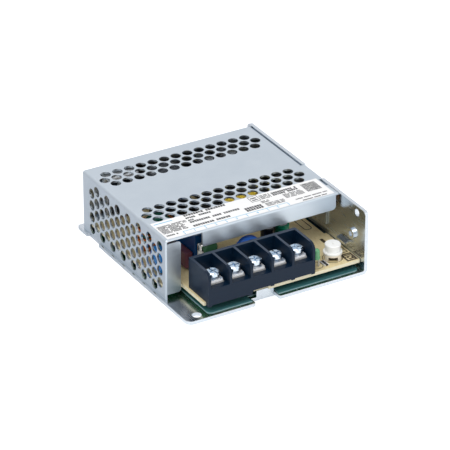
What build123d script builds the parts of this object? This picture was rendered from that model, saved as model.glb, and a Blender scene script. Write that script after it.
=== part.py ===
"""Enclosed switching power supply for panel mounting.

A bent chassis carries the circuit board, and a thinner folded cover, perforated on its
top and left side, closes it. The terminals, the output trimmer and the indicator lamp
are at the open front. Millimetres, +Z up, front at -Y, origin at the middle of the
chassis underside.
"""
import os

from build123d import *

# Overall size
width = 88.0
depth = 98.0
height = 30.0

# Chassis sheet
chassis_sheet = 1.6
chassis_bend = 2.4
plate_corner = 3.0
wall_corner = 2.0
mount_hole_diameter = 4.2
mount_hole_from_left = 6.4
mount_hole_from_front = 4.0
rear_hole_from_back = 1.4
side_hole_diameter = 3.4
side_hole_from_front = 6.6
side_hole_from_top = 3.0
side_thread_diameter = 2.5
side_thread_collar_diameter = 5.0
side_thread_collar_depth = 1.1
side_thread_from_front = 9.8
side_thread_height = 15.6
rear_thread_from_back = 22.0
notch_from_left = 32.8
notch_width = 11.6
notch_depth = 4.1
notch_round = 1.0
tab_from_left = 35.4
tab_width = 8.4
ear_gap_from_back = 19.7
ear_gap_length = 11.0
ear_round = 0.9
rear_corner = 1.2
tongue_from_front = 12.1
tongue_width = 6.6
tongue_root_height = 10.2
tongue_end_height = 9.4
tongue_reach = 2.4
tongue_thickness = 0.9
boss_diameter = 6.0
boss_hole_diameter = 2.5
boss_inset = 7.0
boss_from_back = 8.4

# Cover sheet
cover_sheet = 0.8
cover_bend = 1.3
fold_share = 0.9
cover_left_gap = 1.3
cover_right_gap = 0.1
cover_below_wall = 0.2
cover_from_front = 21.2
cover_from_back = 2.8
vent_diameter = 4.6
vent_pitch = 5.8
vent_row = 4.63
top_vent_margin = 2.0
top_vent_shift = 0.8
near_vents_from_cover_front = 23.17
far_vents_from_back = 16.5
side_vents_from_cover_front = 4.9
side_vents_from_cover_back = 6.6
side_vents_low = 4.8
side_vents_below_top = 0.5
lip_from_left = 17.9
lip_right_gap = 1.4
lip_drop = 7.6
lip_round = 1.6
flange_reach = 7.4
flange_bottom = 3.8
flange_slit = 1.0
flange_round = 1.5
right_flange_from_front = 29.8
right_flange_bottom = 10.6
right_flange_gap = 0.3
right_flange_hole = 5.8
hook_from_cover_front = 14.6
hook_length = 15.0
hook_gap = 0.1
hook_window = 2.6
foot_tab_reach = 7.0
foot_tab_width = 9.0
foot_tab_from_front = 47.0
foot_tab_from_back = 25.0
cover_screw_diameter = 3.0
cover_screw_head = 5.6
cover_screw_length = 4.0
screw_play = 0.1

# Label
label_thickness = 0.14
label_inset = 1.6
label_depth = 16.0
label_front_gap = 0.8

# Circuit board and film
board_thickness = 1.6
board_underside = 4.6
board_from_front = 3.0
board_recess = 1.5
board_recess_end = 40.8
board_left_of_block = 0.9
board_shoulder_from_front = 23.0
board_side_gap = 0.4
board_rear_step = 1.1
board_rear_step_from_front = 30.0
board_back_gap = 1.2
film_thickness = 0.3
film_from_front = 2.0
film_side_gap = 0.5
film_round = 2.0
film_notch_gap = 0.6

# Terminal block
terminals = 5
terminal_pitch = 10.16
terminal_wall = 1.2
block_from_front = 2.0
block_depth = 16.7
block_back_wall = 1.8
block_height = 14.5
block_foot = 0.5
block_foot_width = 1.7
block_floor_above_board = 6.8
screw_well_floor = 1.0
block_skirt_bottom = 5.3
block_skirt_foot = 0.6
block_skirt_gap = 0.3
barrier_round = 3.6
contact_thickness = 0.8
contact_width = 6.8
contact_pin_width = 1.6
pin_below_board = 1.2
pin_play = 0.15
clamp_size = 6.4
clamp_thickness = 1.0
clamp_round = 0.5
terminal_screw_from_front = 6.4
terminal_screw_diameter = 3.5
terminal_screw_head = 6.0
terminal_screw_head_height = 1.7
terminal_rim_bevel = 0.5
terminal_screw_lift = 1.3
terminal_screw_length = 8.0
terminal_slot_width = 0.9
terminal_slot_depth = 1.1
terminal_cross_length = 3.7
terminal_screw_turns = (15, 80, 70, 5, 75)

# Shares of the free width at the front: before the block, the lamp, the trimmer and the wall
front_gap_shares = (0.163, 0.167, 0.27, 0.40)

# Trimmer and lamp
trimmer_from_front = 9.9
trimmer_base_height = 2.8
trimmer_base_diameter = 8.0
trimmer_window = 4.1
trimmer_window_turn = -27
trimmer_leg_height = 2.0
trimmer_bore_diameter = 3.4
trimmer_sleeve_wall = 0.6
rotor_end_play = 0.15
rotor_radial_play = 0.1
rotor_skirt_diameter = 8.3
rotor_skirt_height = 0.6
rotor_foot_diameter = 6.3
rotor_top_diameter = 7.1
rotor_height = 3.6
rotor_bevel = 0.3
rotor_dimple_diameter = 0.8
rotor_dimple_depth = 0.5
lamp_from_front = 7.6
lamp_diameter = 3.0
lamp_height = 4.8
lamp_rim_diameter = 3.3
lamp_rim_height = 0.9
lamp_lift = 3.5
lamp_lead_pitch = 2.2
lamp_lead_turn = -54
lead_width = 0.6

# Heights used by everything on the board
board_top = board_underside + board_thickness
lead_lift = 1.0

# Transformer
transformer_x = 10.0
transformer_y = 7.0
core_length = 25.0
core_below_cover = 1.8
core_depth = 9.0
core_yoke = 3.0
core_leg_share = 3 / 19
core_above_board = 2.0
core_play = 0.2
bobbin_wall = 0.7
bobbin_flange = 1.1
winding_gap = 0.4
winding_bulge = 3.4
winding_round = 2.5
pin_rail_width = 3.2
pins_per_rail = 4
pin_width = 0.8

# Common-mode choke
choke_from_left = 12.9
choke_from_front = 52.0
choke_outer = 8.0
choke_inner = 4.6
choke_core_width = 6.0
choke_wire = 1.1
choke_winding_arc = 120.0
choke_lift = 0.4

# Heatsinks and what is screwed to them
sink_sheet = 1.5
primary_sink_from_left = 7.7
primary_sink_width = 14.2
primary_sink_back_gap = 2.0
primary_sink_below_cover = 1.8
primary_sink_flange = 7.0
output_sink_from_wall = 4.8
output_sink_from_back = 17.0
output_sink_length = 20.0
output_sink_below_cover = 4.0
package_width = 10.2
package_height = 15.6
package_body = 9.2
package_tab = 1.3
package_thickness = 4.4
package_lift = 0.8
package_hole_diameter = 3.2
package_hole_from_top = 2.8
sink_screw_head = 5.4
sink_screw_head_height = 1.9

# Board screws
board_screw_diameter = 2.5
board_screw_head = 5.2
board_screw_head_height = 1.8
board_screw_length = 5.0
board_hole_diameter = 3.2

# Smaller parts: their distances from the cover's left side and the front, then the sizes
can_bevel = 0.4
chip_height = 2.4
chip_lift = 0.4
chip_lead_pitch = 1.8
package_pin_pitch = 2.54
box_bevel = 0.3
box_lead_share = 0.35
box_capacitors = {
    "x_capacitor": (22.8, 38.5, 9.0, 17.0, 16.0, 0.4, 0.3),
    "film_capacitor": (16.3, 36.5, 3.4, 11.0, 7.0, 0.8, 1.4),
}
disc_edge_share = 0.25
disc_lead_share = 0.6
front_discs = {
    "inrush_thermistor": (22.0, 23.6, 3.3, 2.8, 9.8),
    "safety_capacitor_1": (40.6, 23.8, 6.2, 3.4, lead_lift),
}
varistor_from_left = 4.3
varistor_from_front = 35.0
varistor_radius = 6.0
varistor_thickness = 4.0
front_cans = {
    "output_capacitor_1": (52.7, 27.4, 6.3, 13.0),
    "output_capacitor_2": (59.5, 27.0, 6.3, 13.0),
}
fuse_from_left = 20.7
fuse_from_front = 27.5
fuse_diameter = 4.4
fuse_length = 13.0
fuse_round = 1.0
fuse_cap_length = 3.2
fuse_cap_rise = 0.15

# Smaller parts: their distances from the cover's left side and the back, then the sizes
chips = {
    "controller_chip": (30.4, 42.0, 4.0, 8.0),
    "optocoupler_1": (45.9, 26.6, 6.4, 4.6),
    "optocoupler_2": (45.9, 19.8, 6.4, 4.6),
}
rectifier_from_left = 29.9
rectifier_from_back = 31.5
rectifier_size = (14.5, 3.6, 10.6)
rectifier_lift = 2.5
rectifier_pins = 4
rectifier_pin_pitch = 3.8
rectifier_corner = 2.0
bulk_capacitor_from_left = 32.9
bulk_capacitor_from_back = 18.0
bulk_capacitor_diameter = 16.0
bulk_capacitor_below_cover = 1.3

# Smaller parts: their distances from the right wall's face and the back, then the sizes
rear_cans = {
    "output_capacitor_3": (30.0, 11.0, 10.0, 18.5),
    "output_capacitor_4": (18.5, 11.0, 10.0, 18.5),
    "output_capacitor_5": (17.0, 25.5, 8.0, 16.0),
}

# Smaller parts beside the transformer
auxiliary_from_left = 32.4
auxiliary_capacitor_y = -8.0
auxiliary_diameter = 5.0
auxiliary_height = 11.0
bridging_capacitor_x = 15.5
bridging_capacitor_from_back = 24.8
bridging_capacitor_radius = 4.2
bridging_capacitor_thickness = 3.2
output_choke_gap = 1.5
output_choke_y = 4.5
output_choke_diameter = 11.0
output_choke_waist = 6.0
output_choke_height = 13.5
output_choke_flange = 1.6

# Faces that several pieces share
left = -width / 2
right = width / 2
front = -depth / 2
back = depth / 2
wall_inside = right - chassis_sheet
cover_left = left + cover_left_gap
cover_right = wall_inside - cover_right_gap
cover_front = front + cover_from_front
cover_back = back - cover_from_back
cover_top = height - cover_below_wall
cover_inside = cover_top - cover_sheet
cover_left_inside = cover_left + cover_sheet
cover_back_inside = cover_back - cover_sheet
hook_front = cover_front + hook_from_cover_front
foot_tabs_y = (front + foot_tab_from_front, back - foot_tab_from_back)
cover_screw_x = cover_left_inside + foot_tab_reach / 2
hole_x = left + mount_hole_from_left
notch_left = left + notch_from_left
notch_right = notch_left + notch_width
notch_back = front + notch_depth
notch_middle = (notch_left + notch_right) / 2
thread_places = [
    (front + side_thread_from_front, side_thread_height),
    (back - rear_thread_from_back, side_thread_height),
]

# Front row: the block, the lamp and the trimmer share the width beside the left flange
block_width = terminals * terminal_pitch + terminal_wall
row_left = cover_left + flange_reach
row_free = (
    wall_inside - row_left - block_width - lamp_rim_diameter - rotor_skirt_diameter
)
block_left = row_left + front_gap_shares[0] * row_free
block_right = block_left + block_width
lamp_x = block_right + front_gap_shares[1] * row_free + lamp_rim_diameter / 2
trimmer_x = wall_inside - front_gap_shares[3] * row_free - rotor_skirt_diameter / 2
trimmer_y = front + trimmer_from_front
lamp_y = front + lamp_from_front

# Levels of the board and of the terminal block
board_front = front + board_from_front
block_front = front + block_from_front
block_back = block_front + block_depth
block_bottom = board_top + block_foot
block_top = board_top + block_height
block_floor = board_top + block_floor_above_board
screw_y = block_front + terminal_screw_from_front
clamp_bottom = block_floor + contact_thickness
clamp_top = clamp_bottom + clamp_thickness
head_bottom = clamp_top + terminal_screw_lift
pin_end = board_underside - pin_below_board
contact_back = block_back - block_back_wall - contact_thickness
boss_places = [
    (left + boss_inset, back - boss_from_back),
    (right - boss_inset, back - boss_from_back),
]


def from_left(distance):
    """Place at a distance from the inner face of the cover's left side."""
    return cover_left_inside + distance


def from_front(distance):
    """Place at a distance from the front."""
    return front + distance


def from_back(distance):
    """Place at a distance from the back."""
    return back - distance


def fitting(span, pitch):
    """How many copies at a pitch fit a span between the first and the last."""
    return int(span // pitch) + 1


def terminal_x(index):
    """Middle of a terminal bay, counted from the left."""
    return block_left + terminal_wall / 2 + terminal_pitch * (index + 0.5)


def span_box(x, y, z, mode=Mode.ADD):
    """A box between the low and high values given for each axis."""
    with Locations(((x[0] + x[1]) / 2, (y[0] + y[1]) / 2, (z[0] + z[1]) / 2)):
        Box(x[1] - x[0], y[1] - y[0], z[1] - z[0], mode=mode)


def around(middle, size):
    """The low and high values of a size set about its middle."""
    return (middle - size / 2, middle + size / 2)


def leads(places, top, size=lead_width):
    """Square leads that stand on the board at the places given."""
    for x, y in places:
        span_box(around(x, size), around(y, size), (board_top, top))


pieces = {}

# Chassis: base plate and right wall bent from one sheet
with BuildPart() as chassis:
    with BuildSketch(Plane.XZ) as chassis_section:
        Rectangle(width, chassis_sheet, align=(Align.CENTER, Align.MIN))
        with Locations((right, 0)):
            Rectangle(chassis_sheet, height, align=(Align.MAX, Align.MIN))
        corners = chassis_section.vertices()
        fillet(corners.sort_by_distance((right, 0))[0], chassis_bend)
        fillet(
            chassis_section.vertices().sort_by_distance((wall_inside, chassis_sheet))[0],
            chassis_bend - chassis_sheet,
        )
    extrude(amount=depth / 2, both=True)
    # Rounded corners of the plate and of the wall
    upright = chassis.edges().filter_by(Axis.Z)
    fillet(upright.sort_by_distance((left, front, 0))[0], plate_corner)
    crosswise = chassis.edges().filter_by(Axis.X)
    fillet(crosswise.sort_by_distance((right, front, height))[0], wall_corner)
    fillet(chassis.edges().filter_by(Axis.X).sort_by_distance((right, back, height))[0], wall_corner)
    # Left edge cut back beside the rear ear
    with BuildSketch(Plane.XY):
        with Locations((left, back - ear_gap_from_back + ear_gap_length / 2)):
            RectangleRounded(2 * cover_left_gap, ear_gap_length, ear_round)
    extrude(amount=chassis_sheet, mode=Mode.SUBTRACT)
    fillet(
        chassis.edges().filter_by(Axis.Z).sort_by_distance((left, back, 0))[0],
        rear_corner,
    )
    # Front notch, with the tab that was bent up out of it
    with BuildSketch(Plane.XY):
        with Locations((notch_middle, front)):
            Rectangle(notch_width, 2 * notch_depth)
    extrude(amount=chassis_sheet, mode=Mode.SUBTRACT)
    notch_corners = chassis.edges().filter_by(Axis.Z)
    fillet(notch_corners.sort_by_distance((notch_left, front, 0))[0], notch_round)
    notch_corners = chassis.edges().filter_by(Axis.Z)
    fillet(notch_corners.sort_by_distance((notch_right, front, 0))[0], notch_round)
    span_box(
        (left + tab_from_left, left + tab_from_left + tab_width),
        (notch_back, notch_back + chassis_sheet),
        (0, board_underside),
    )
    # Mounting holes of the plate: a round one in front and an open slot behind
    with Locations((hole_x, front + mount_hole_from_front, chassis_sheet)):
        Hole(mount_hole_diameter / 2, depth=chassis_sheet)
    with BuildSketch(Plane.XY):
        with Locations((hole_x, back)):
            SlotCenterToCenter(2 * rear_hole_from_back, mount_hole_diameter, rotation=90)
    extrude(amount=chassis_sheet, mode=Mode.SUBTRACT)
    # Bosses pressed up to carry the board
    with BuildSketch(Plane.XY.offset(chassis_sheet)):
        with Locations(*boss_places):
            Circle(boss_diameter / 2)
    extrude(amount=board_underside - chassis_sheet)
    with BuildSketch(Plane.XY):
        with Locations(*boss_places):
            Circle(boss_hole_diameter / 2)
    extrude(amount=board_underside, mode=Mode.SUBTRACT)
    # Countersunk holes for the cover screws
    with Locations(*[Location((cover_screw_x, y, 0), (180, 0, 0)) for y in foot_tabs_y]):
        CounterSinkHole(
            cover_screw_diameter / 2 + screw_play,
            cover_screw_head / 2 + screw_play,
            depth=chassis_sheet,
        )
    # Round hole and threaded collars of the side wall
    wall_plane = Plane(origin=(right, 0, 0), x_dir=(0, 1, 0), z_dir=(1, 0, 0))
    with BuildSketch(wall_plane.offset(-chassis_sheet)):
        with Locations(*thread_places):
            Circle(side_thread_collar_diameter / 2)
    extrude(amount=-side_thread_collar_depth)
    with BuildSketch(wall_plane):
        with Locations(*thread_places):
            Circle(side_thread_diameter / 2)
        with Locations((front + side_hole_from_front, height - side_hole_from_top)):
            Circle(side_hole_diameter / 2)
    extrude(amount=-chassis_sheet - side_thread_collar_depth, mode=Mode.SUBTRACT)
    # Gap in the wall's top edge for the cover's hook
    span_box(
        (wall_inside, right),
        (hook_front - hook_gap, hook_front + hook_length + hook_gap),
        (cover_inside - hook_gap, height),
        mode=Mode.SUBTRACT,
    )
    # Tongue lanced from the wall, leaning down and inwards over the board's edge
    with BuildSketch(Plane.XZ.offset(-front - tongue_from_front - tongue_width)):
        with BuildLine():
            Polyline(
                (wall_inside, tongue_root_height + tongue_thickness),
                (wall_inside - tongue_reach, tongue_end_height + tongue_thickness),
                (wall_inside - tongue_reach, tongue_end_height),
                (wall_inside, tongue_root_height),
                close=True,
            )
        make_face()
    extrude(amount=tongue_width)
pieces["chassis"] = chassis

# Cover: top, left side, back, front lip, left front flange, right flange and hook of one sheet
with BuildPart() as cover:
    with BuildSketch(Plane.XZ.offset(-cover_back)) as cover_section:
        with Locations((cover_left, cover_top)):
            Rectangle(cover_right - cover_left, cover_sheet, align=(Align.MIN, Align.MAX))
        with Locations((cover_left, chassis_sheet)):
            Rectangle(cover_sheet, cover_top - chassis_sheet, align=(Align.MIN, Align.MIN))
        fillet(
            cover_section.vertices().sort_by_distance((cover_left, cover_top))[0],
            cover_bend,
        )
        fillet(
            cover_section.vertices().sort_by_distance((cover_left_inside, cover_inside))[0],
            cover_bend - cover_sheet,
        )
    extrude(amount=cover_back - cover_front)
    # Back wall, its lower corner rounded to clear the chassis bend
    with BuildSketch(Plane.XZ.offset(-cover_back)) as back_wall:
        with Locations((cover_left_inside, chassis_sheet)):
            Rectangle(
                cover_right - cover_left_inside,
                cover_inside - chassis_sheet,
                align=(Align.MIN, Align.MIN),
            )
        fillet(
            back_wall.vertices().sort_by_distance((cover_right, chassis_sheet))[0],
            chassis_bend,
        )
    extrude(amount=cover_sheet)
    top_back = cover.edges().filter_by(Axis.X).sort_by_distance((0, cover_back, cover_top))
    fillet(top_back[0], cover_bend)
    # Flange bent down inside the chassis wall, with a hole round the rear threaded collar
    right_flange_back = cover_back_inside - right_flange_gap
    right_flange_y = (front + right_flange_from_front, right_flange_back)
    span_box(
        (cover_right - 2 * cover_bend, cover_right),
        right_flange_y,
        (cover_inside, cover_top),
        mode=Mode.SUBTRACT,
    )
    with BuildSketch(Plane.XZ.offset(-right_flange_back)) as right_flange:
        with Locations((cover_right, cover_top)):
            Rectangle(
                2 * cover_bend,
                cover_top - right_flange_bottom,
                align=(Align.MAX, Align.MAX),
            )
        fillet(
            right_flange.vertices().sort_by_distance((cover_right, cover_top))[0],
            cover_bend,
        )
        with Locations((cover_right - cover_sheet, cover_inside)):
            Rectangle(
                2 * cover_bend,
                cover_inside - right_flange_bottom,
                align=(Align.MAX, Align.MAX),
                mode=Mode.SUBTRACT,
            )
        fillet(
            right_flange.vertices().sort_by_distance(
                (cover_right - cover_sheet, cover_inside)
            )[0],
            cover_bend - cover_sheet,
        )
    extrude(amount=right_flange_y[1] - right_flange_y[0])
    with BuildSketch(Plane.YZ.offset(cover_right - cover_sheet)):
        with Locations(thread_places[1]):
            Circle(right_flange_hole / 2)
    extrude(amount=cover_sheet, mode=Mode.SUBTRACT)
    # Lip bent down in front
    lip_left = cover_left + lip_from_left
    with BuildSketch(Plane.XZ.offset(-cover_front)) as lip:
        with Locations((lip_left, cover_inside)):
            Rectangle(
                wall_inside - lip_right_gap - lip_left,
                lip_drop - cover_sheet,
                align=(Align.MIN, Align.MAX),
            )
        lip_corners = lip.vertices().group_by(Axis.Y)[0].sort_by(Axis.X)
        fillet(lip_corners[-1], lip_round)
        fillet(lip.vertices().group_by(Axis.Y)[0].sort_by(Axis.X)[0], cover_sheet)
    extrude(amount=-cover_sheet)
    # Flange bent inwards from the left side
    with BuildSketch(Plane.XZ.offset(-cover_front)) as flange:
        with Locations((cover_left_inside, flange_bottom)):
            Rectangle(
                flange_reach - cover_sheet,
                cover_inside - flange_slit - flange_bottom,
                align=(Align.MIN, Align.MIN),
            )
        fillet(flange.vertices().group_by(Axis.X)[-1], flange_round)
    extrude(amount=-cover_sheet)
    front_edges = cover.edges().filter_by(Axis.X)
    fillet(
        front_edges.sort_by_distance((0, cover_front, cover_top))[0],
        cover_sheet * fold_share,
    )
    # Hook cut free of the right flange, lying in the gap of the chassis wall
    span_box(
        (cover_right - cover_bend, cover_right),
        (hook_front - hook_gap, hook_front + hook_length + hook_gap),
        (cover_top - hook_window, cover_top),
        mode=Mode.SUBTRACT,
    )
    span_box(
        (cover_right - cover_bend, right - cover_below_wall),
        (hook_front, hook_front + hook_length),
        (cover_inside, cover_top),
    )
    hook_edges = cover.edges().filter_by(Axis.Y)
    fillet(
        hook_edges.sort_by_distance((right, hook_front + hook_length / 2, cover_top))[0],
        cover_sheet * fold_share,
    )
    # Foot tabs with holes for the cover screws
    for y in foot_tabs_y:
        span_box(
            (cover_left_inside, cover_left_inside + foot_tab_reach),
            around(y, foot_tab_width),
            (chassis_sheet, chassis_sheet + cover_sheet),
        )
    with Locations(*[(cover_screw_x, y, chassis_sheet + cover_sheet) for y in foot_tabs_y]):
        Hole(cover_screw_diameter / 2 + screw_play, depth=cover_sheet)
    # Vents of the top: two bands of three staggered rows
    top_vent_x = (cover_left + cover_right) / 2 - top_vent_shift
    top_vent_columns = fitting(
        cover_right - cover_left - 2 * top_vent_margin - vent_diameter, vent_pitch
    )
    with BuildSketch(Plane.XY.offset(cover_top)):
        for band_y in (cover_front + near_vents_from_cover_front, from_back(far_vents_from_back)):
            with Locations((top_vent_x, band_y)):
                with GridLocations(vent_pitch, 2 * vent_row, top_vent_columns - 1, 2):
                    Circle(vent_diameter / 2)
                with GridLocations(vent_pitch, 0, top_vent_columns, 1):
                    Circle(vent_diameter / 2)
    extrude(amount=-cover_sheet, mode=Mode.SUBTRACT)
    # Vents of the left side: staggered columns
    side_vents_front = cover_front + side_vents_from_cover_front
    side_vent_columns = fitting(
        cover_back - side_vents_from_cover_back - side_vents_front, vent_row
    )
    highest_vent = cover_inside - side_vents_below_top - vent_diameter / 2
    side_vent_rows = fitting(highest_vent - side_vents_low - vent_pitch / 2, vent_pitch)
    side_plane = Plane(origin=(cover_left, 0, 0), x_dir=(0, 1, 0), z_dir=(1, 0, 0))
    with BuildSketch(side_plane):
        for column in range(side_vent_columns):
            column_y = side_vents_front + column * vent_row
            column_low = side_vents_low + (vent_pitch / 2 if column % 2 == 0 else 0)
            for row in range(side_vent_rows):
                with Locations((column_y, column_low + row * vent_pitch)):
                    Circle(vent_diameter / 2)
    extrude(amount=cover_sheet, mode=Mode.SUBTRACT)
pieces["cover"] = cover

# Label on the cover
with BuildPart() as label:
    with BuildSketch(Plane.XY.offset(cover_top)):
        with Locations((
            (cover_left + cover_right) / 2,
            cover_front + (label_front_gap + label_depth) / 2,
        )):
            Rectangle(
                cover_right - cover_left - 2 * label_inset,
                label_depth - label_front_gap,
            )
    extrude(amount=label_thickness)
pieces["label"] = label

# Screws that hold the cover's foot tabs from below
with BuildPart() as cover_screws:
    for y in foot_tabs_y:
        with Locations((cover_screw_x, y, 0)):
            Cylinder(
                cover_screw_diameter / 2,
                cover_screw_length,
                align=(Align.CENTER, Align.CENTER, Align.MIN),
            )
            Cone(
                cover_screw_head / 2,
                cover_screw_diameter / 2,
                (cover_screw_head - cover_screw_diameter) / 2,
                align=(Align.CENTER, Align.CENTER, Align.MIN),
            )
pieces["cover_screws"] = cover_screws

# Circuit board
board_right = wall_inside - board_side_gap
board_left = cover_left_inside + board_side_gap
board_back = cover_back_inside - board_back_gap
board_front_left = block_left - board_left_of_block
board_recess_right = left + board_recess_end
board_shoulder = from_front(board_shoulder_from_front)
board_rear_step_y = from_front(board_rear_step_from_front)
rail_y = [
    transformer_y + side * (core_depth / 2 + winding_bulge - pin_rail_width / 2)
    for side in (-1, 1)
]
rail_pitch = (core_length - 2 * core_yoke) / pins_per_rail
transformer_pins = [
    (transformer_x + (index - (pins_per_rail - 1) / 2) * rail_pitch, y)
    for y in rail_y
    for index in range(pins_per_rail)
]
contact_pins = [
    (terminal_x(index), contact_back + contact_thickness / 2) for index in range(terminals)
]
with BuildPart() as circuit_board:
    with BuildSketch(Plane.XY.offset(board_underside)):
        with BuildLine():
            Polyline(
                (board_front_left, board_front + board_recess),
                (board_recess_right, board_front + board_recess),
                (board_recess_right, board_front),
                (board_right, board_front),
                (board_right, board_rear_step_y),
                (board_right - board_rear_step, board_rear_step_y),
                (board_right - board_rear_step, board_back),
                (board_left, board_back),
                (board_left, board_shoulder),
                (board_front_left, board_shoulder),
                close=True,
            )
        make_face()
        with Locations(*boss_places):
            Circle(board_hole_diameter / 2, mode=Mode.SUBTRACT)
        with Locations(*contact_pins):
            Rectangle(
                contact_pin_width + 2 * pin_play,
                contact_thickness + 2 * pin_play,
                mode=Mode.SUBTRACT,
            )
        with Locations(*transformer_pins):
            Rectangle(pin_width + 2 * pin_play, pin_width + 2 * pin_play, mode=Mode.SUBTRACT)
    extrude(amount=board_thickness)
pieces["circuit_board"] = circuit_board

# Insulating film that lies on the chassis under the board, in front of the bosses
with BuildPart() as insulating_film:
    with BuildSketch(Plane.XY.offset(chassis_sheet)) as film_outline:
        film_right = wall_inside - film_side_gap - (chassis_bend - chassis_sheet)
        film_front = from_front(film_from_front)
        film_back = back - boss_from_back - boss_diameter / 2 - film_notch_gap
        with Locations((block_left, film_front)):
            Rectangle(
                film_right - block_left,
                film_back - film_front,
                align=(Align.MIN, Align.MIN),
            )
        fillet(film_outline.vertices(), film_round)
        with Locations((notch_middle, film_front)):
            Rectangle(
                notch_width + 2 * film_notch_gap,
                2 * (notch_back + chassis_sheet + film_notch_gap - film_front),
                mode=Mode.SUBTRACT,
            )
    extrude(amount=film_thickness)
pieces["insulating_film"] = insulating_film

# Screws of the board
with BuildPart() as board_screws:
    for x, y in boss_places:
        with Locations((x, y, board_top)):
            Cylinder(
                board_screw_head / 2,
                board_screw_head_height,
                align=(Align.CENTER, Align.CENTER, Align.MIN),
            )
        with Locations((x, y, board_top)):
            Cylinder(
                board_screw_diameter / 2 - screw_play / 2,
                board_screw_length,
                align=(Align.CENTER, Align.CENTER, Align.MAX),
            )
pieces["board_screws"] = board_screws

# Terminal block: floor, back wall, front skirt and six barriers with rounded front corners
with BuildPart() as terminal_block:
    span_box((block_left, block_right), (block_front, block_back), (block_bottom, block_floor))
    span_box(
        (block_left, block_right),
        (block_back - block_back_wall, block_back),
        (block_floor, block_top),
    )
    for index in range(terminals + 1):
        barrier_left = block_left + index * terminal_pitch
        with BuildSketch(Plane.YZ.offset(barrier_left)) as barrier:
            with Locations((block_front, block_bottom)):
                Rectangle(
                    block_back - block_front,
                    block_top - block_bottom,
                    align=(Align.MIN, Align.MIN),
                )
            fillet(
                barrier.vertices().sort_by_distance((block_front, block_top))[0],
                barrier_round,
            )
        extrude(amount=terminal_wall)
        foot_left = barrier_left + (terminal_wall - block_foot_width) / 2
        foot_left = min(max(foot_left, block_left), block_right - block_foot_width)
        span_box(
            (foot_left, foot_left + block_foot_width),
            (block_front, block_back),
            (board_top, block_bottom),
        )
    # Skirt that hangs in front of the board's recess, on two feet
    skirt_right = notch_left - film_notch_gap
    skirt_y = (block_front, board_front + board_recess - block_skirt_gap)
    span_box((block_left, skirt_right), skirt_y, (block_skirt_bottom, block_floor))
    for foot_left in (block_left, skirt_right - block_foot_width):
        span_box(
            (foot_left, foot_left + block_foot_width),
            skirt_y,
            (block_skirt_bottom - block_skirt_foot, block_skirt_bottom),
        )
    for index in range(terminals):
        # Slot that the contact's pin drops through, and the hole under the screw
        span_box(
            around(terminal_x(index), contact_pin_width + 2 * pin_play),
            around(contact_pins[index][1], contact_thickness + 2 * pin_play),
            (block_bottom, block_floor),
            mode=Mode.SUBTRACT,
        )
        with Locations((terminal_x(index), screw_y, block_floor)):
            Cylinder(
                terminal_screw_diameter / 2 + pin_play,
                block_floor_above_board - screw_well_floor,
                align=(Align.CENTER, Align.CENTER, Align.MAX),
                mode=Mode.SUBTRACT,
            )
pieces["terminal_block"] = terminal_block


def terminal_contact(index):
    """Contact rail on a bay's floor with its pin through the board."""
    x = terminal_x(index)
    with BuildPart() as contact:
        span_box(
            around(x, contact_width),
            (screw_y - clamp_size / 2, contact_back + contact_thickness),
            (block_floor, clamp_bottom),
        )
        with Locations((x, screw_y, clamp_bottom)):
            Hole(terminal_screw_diameter / 2 + screw_play / 2, depth=contact_thickness)
        span_box(
            around(x, contact_pin_width),
            (contact_back, contact_back + contact_thickness),
            (pin_end, block_floor),
        )
    return contact


for index in range(terminals):
    pieces[f"terminal_contact_{index + 1}"] = terminal_contact(index)

# Square clamp plates under the screw heads
with BuildPart() as terminal_clamps:
    with BuildSketch(Plane.XY.offset(clamp_bottom)):
        with Locations(*[(terminal_x(index), screw_y) for index in range(terminals)]):
            RectangleRounded(clamp_size, clamp_size, clamp_round)
            Circle(terminal_screw_diameter / 2 + screw_play, mode=Mode.SUBTRACT)
    extrude(amount=clamp_thickness)
pieces["terminal_clamps"] = terminal_clamps

# Terminal screws, backed off, with a slot and a cross in each pan head
with BuildPart() as terminal_screws:
    head_top = head_bottom + terminal_screw_head_height
    for index in range(terminals):
        with Locations((terminal_x(index), screw_y, head_bottom)):
            Cylinder(
                terminal_screw_head / 2,
                terminal_screw_head_height,
                align=(Align.CENTER, Align.CENTER, Align.MIN),
            )
        with Locations((terminal_x(index), screw_y, head_bottom)):
            Cylinder(
                terminal_screw_diameter / 2,
                terminal_screw_length,
                align=(Align.CENTER, Align.CENTER, Align.MAX),
            )
    rims = terminal_screws.edges().filter_by(GeomType.CIRCLE).group_by(Axis.Z)[-1]
    chamfer(rims, terminal_rim_bevel)
    with BuildSketch(Plane.XY.offset(head_top)):
        for index, turn in enumerate(terminal_screw_turns):
            with Locations((terminal_x(index), screw_y)):
                Rectangle(terminal_slot_width, terminal_screw_head, rotation=turn)
                Rectangle(terminal_cross_length, terminal_slot_width, rotation=turn)
    extrude(amount=-terminal_slot_depth, mode=Mode.SUBTRACT)
pieces["terminal_screws"] = terminal_screws

# Trimmer base: a low table on four legs with a bore for the rotor
table_top = board_top + trimmer_base_height
with BuildPart() as trimmer_base:
    with Locations((trimmer_x, trimmer_y, board_top)):
        Cylinder(
            trimmer_base_diameter / 2,
            trimmer_base_height,
            align=(Align.CENTER, Align.CENTER, Align.MIN),
        )
        for turn in (trimmer_window_turn, trimmer_window_turn + 90):
            Box(
                trimmer_base_diameter,
                trimmer_window,
                trimmer_leg_height,
                rotation=(0, 0, turn),
                align=(Align.CENTER, Align.CENTER, Align.MIN),
                mode=Mode.SUBTRACT,
            )
        Cylinder(
            trimmer_bore_diameter / 2 + trimmer_sleeve_wall,
            trimmer_base_height,
            align=(Align.CENTER, Align.CENTER, Align.MIN),
        )
    with Locations((trimmer_x, trimmer_y, table_top)):
        Hole(trimmer_bore_diameter / 2, depth=trimmer_base_height)
pieces["trimmer_base"] = trimmer_base

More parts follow.
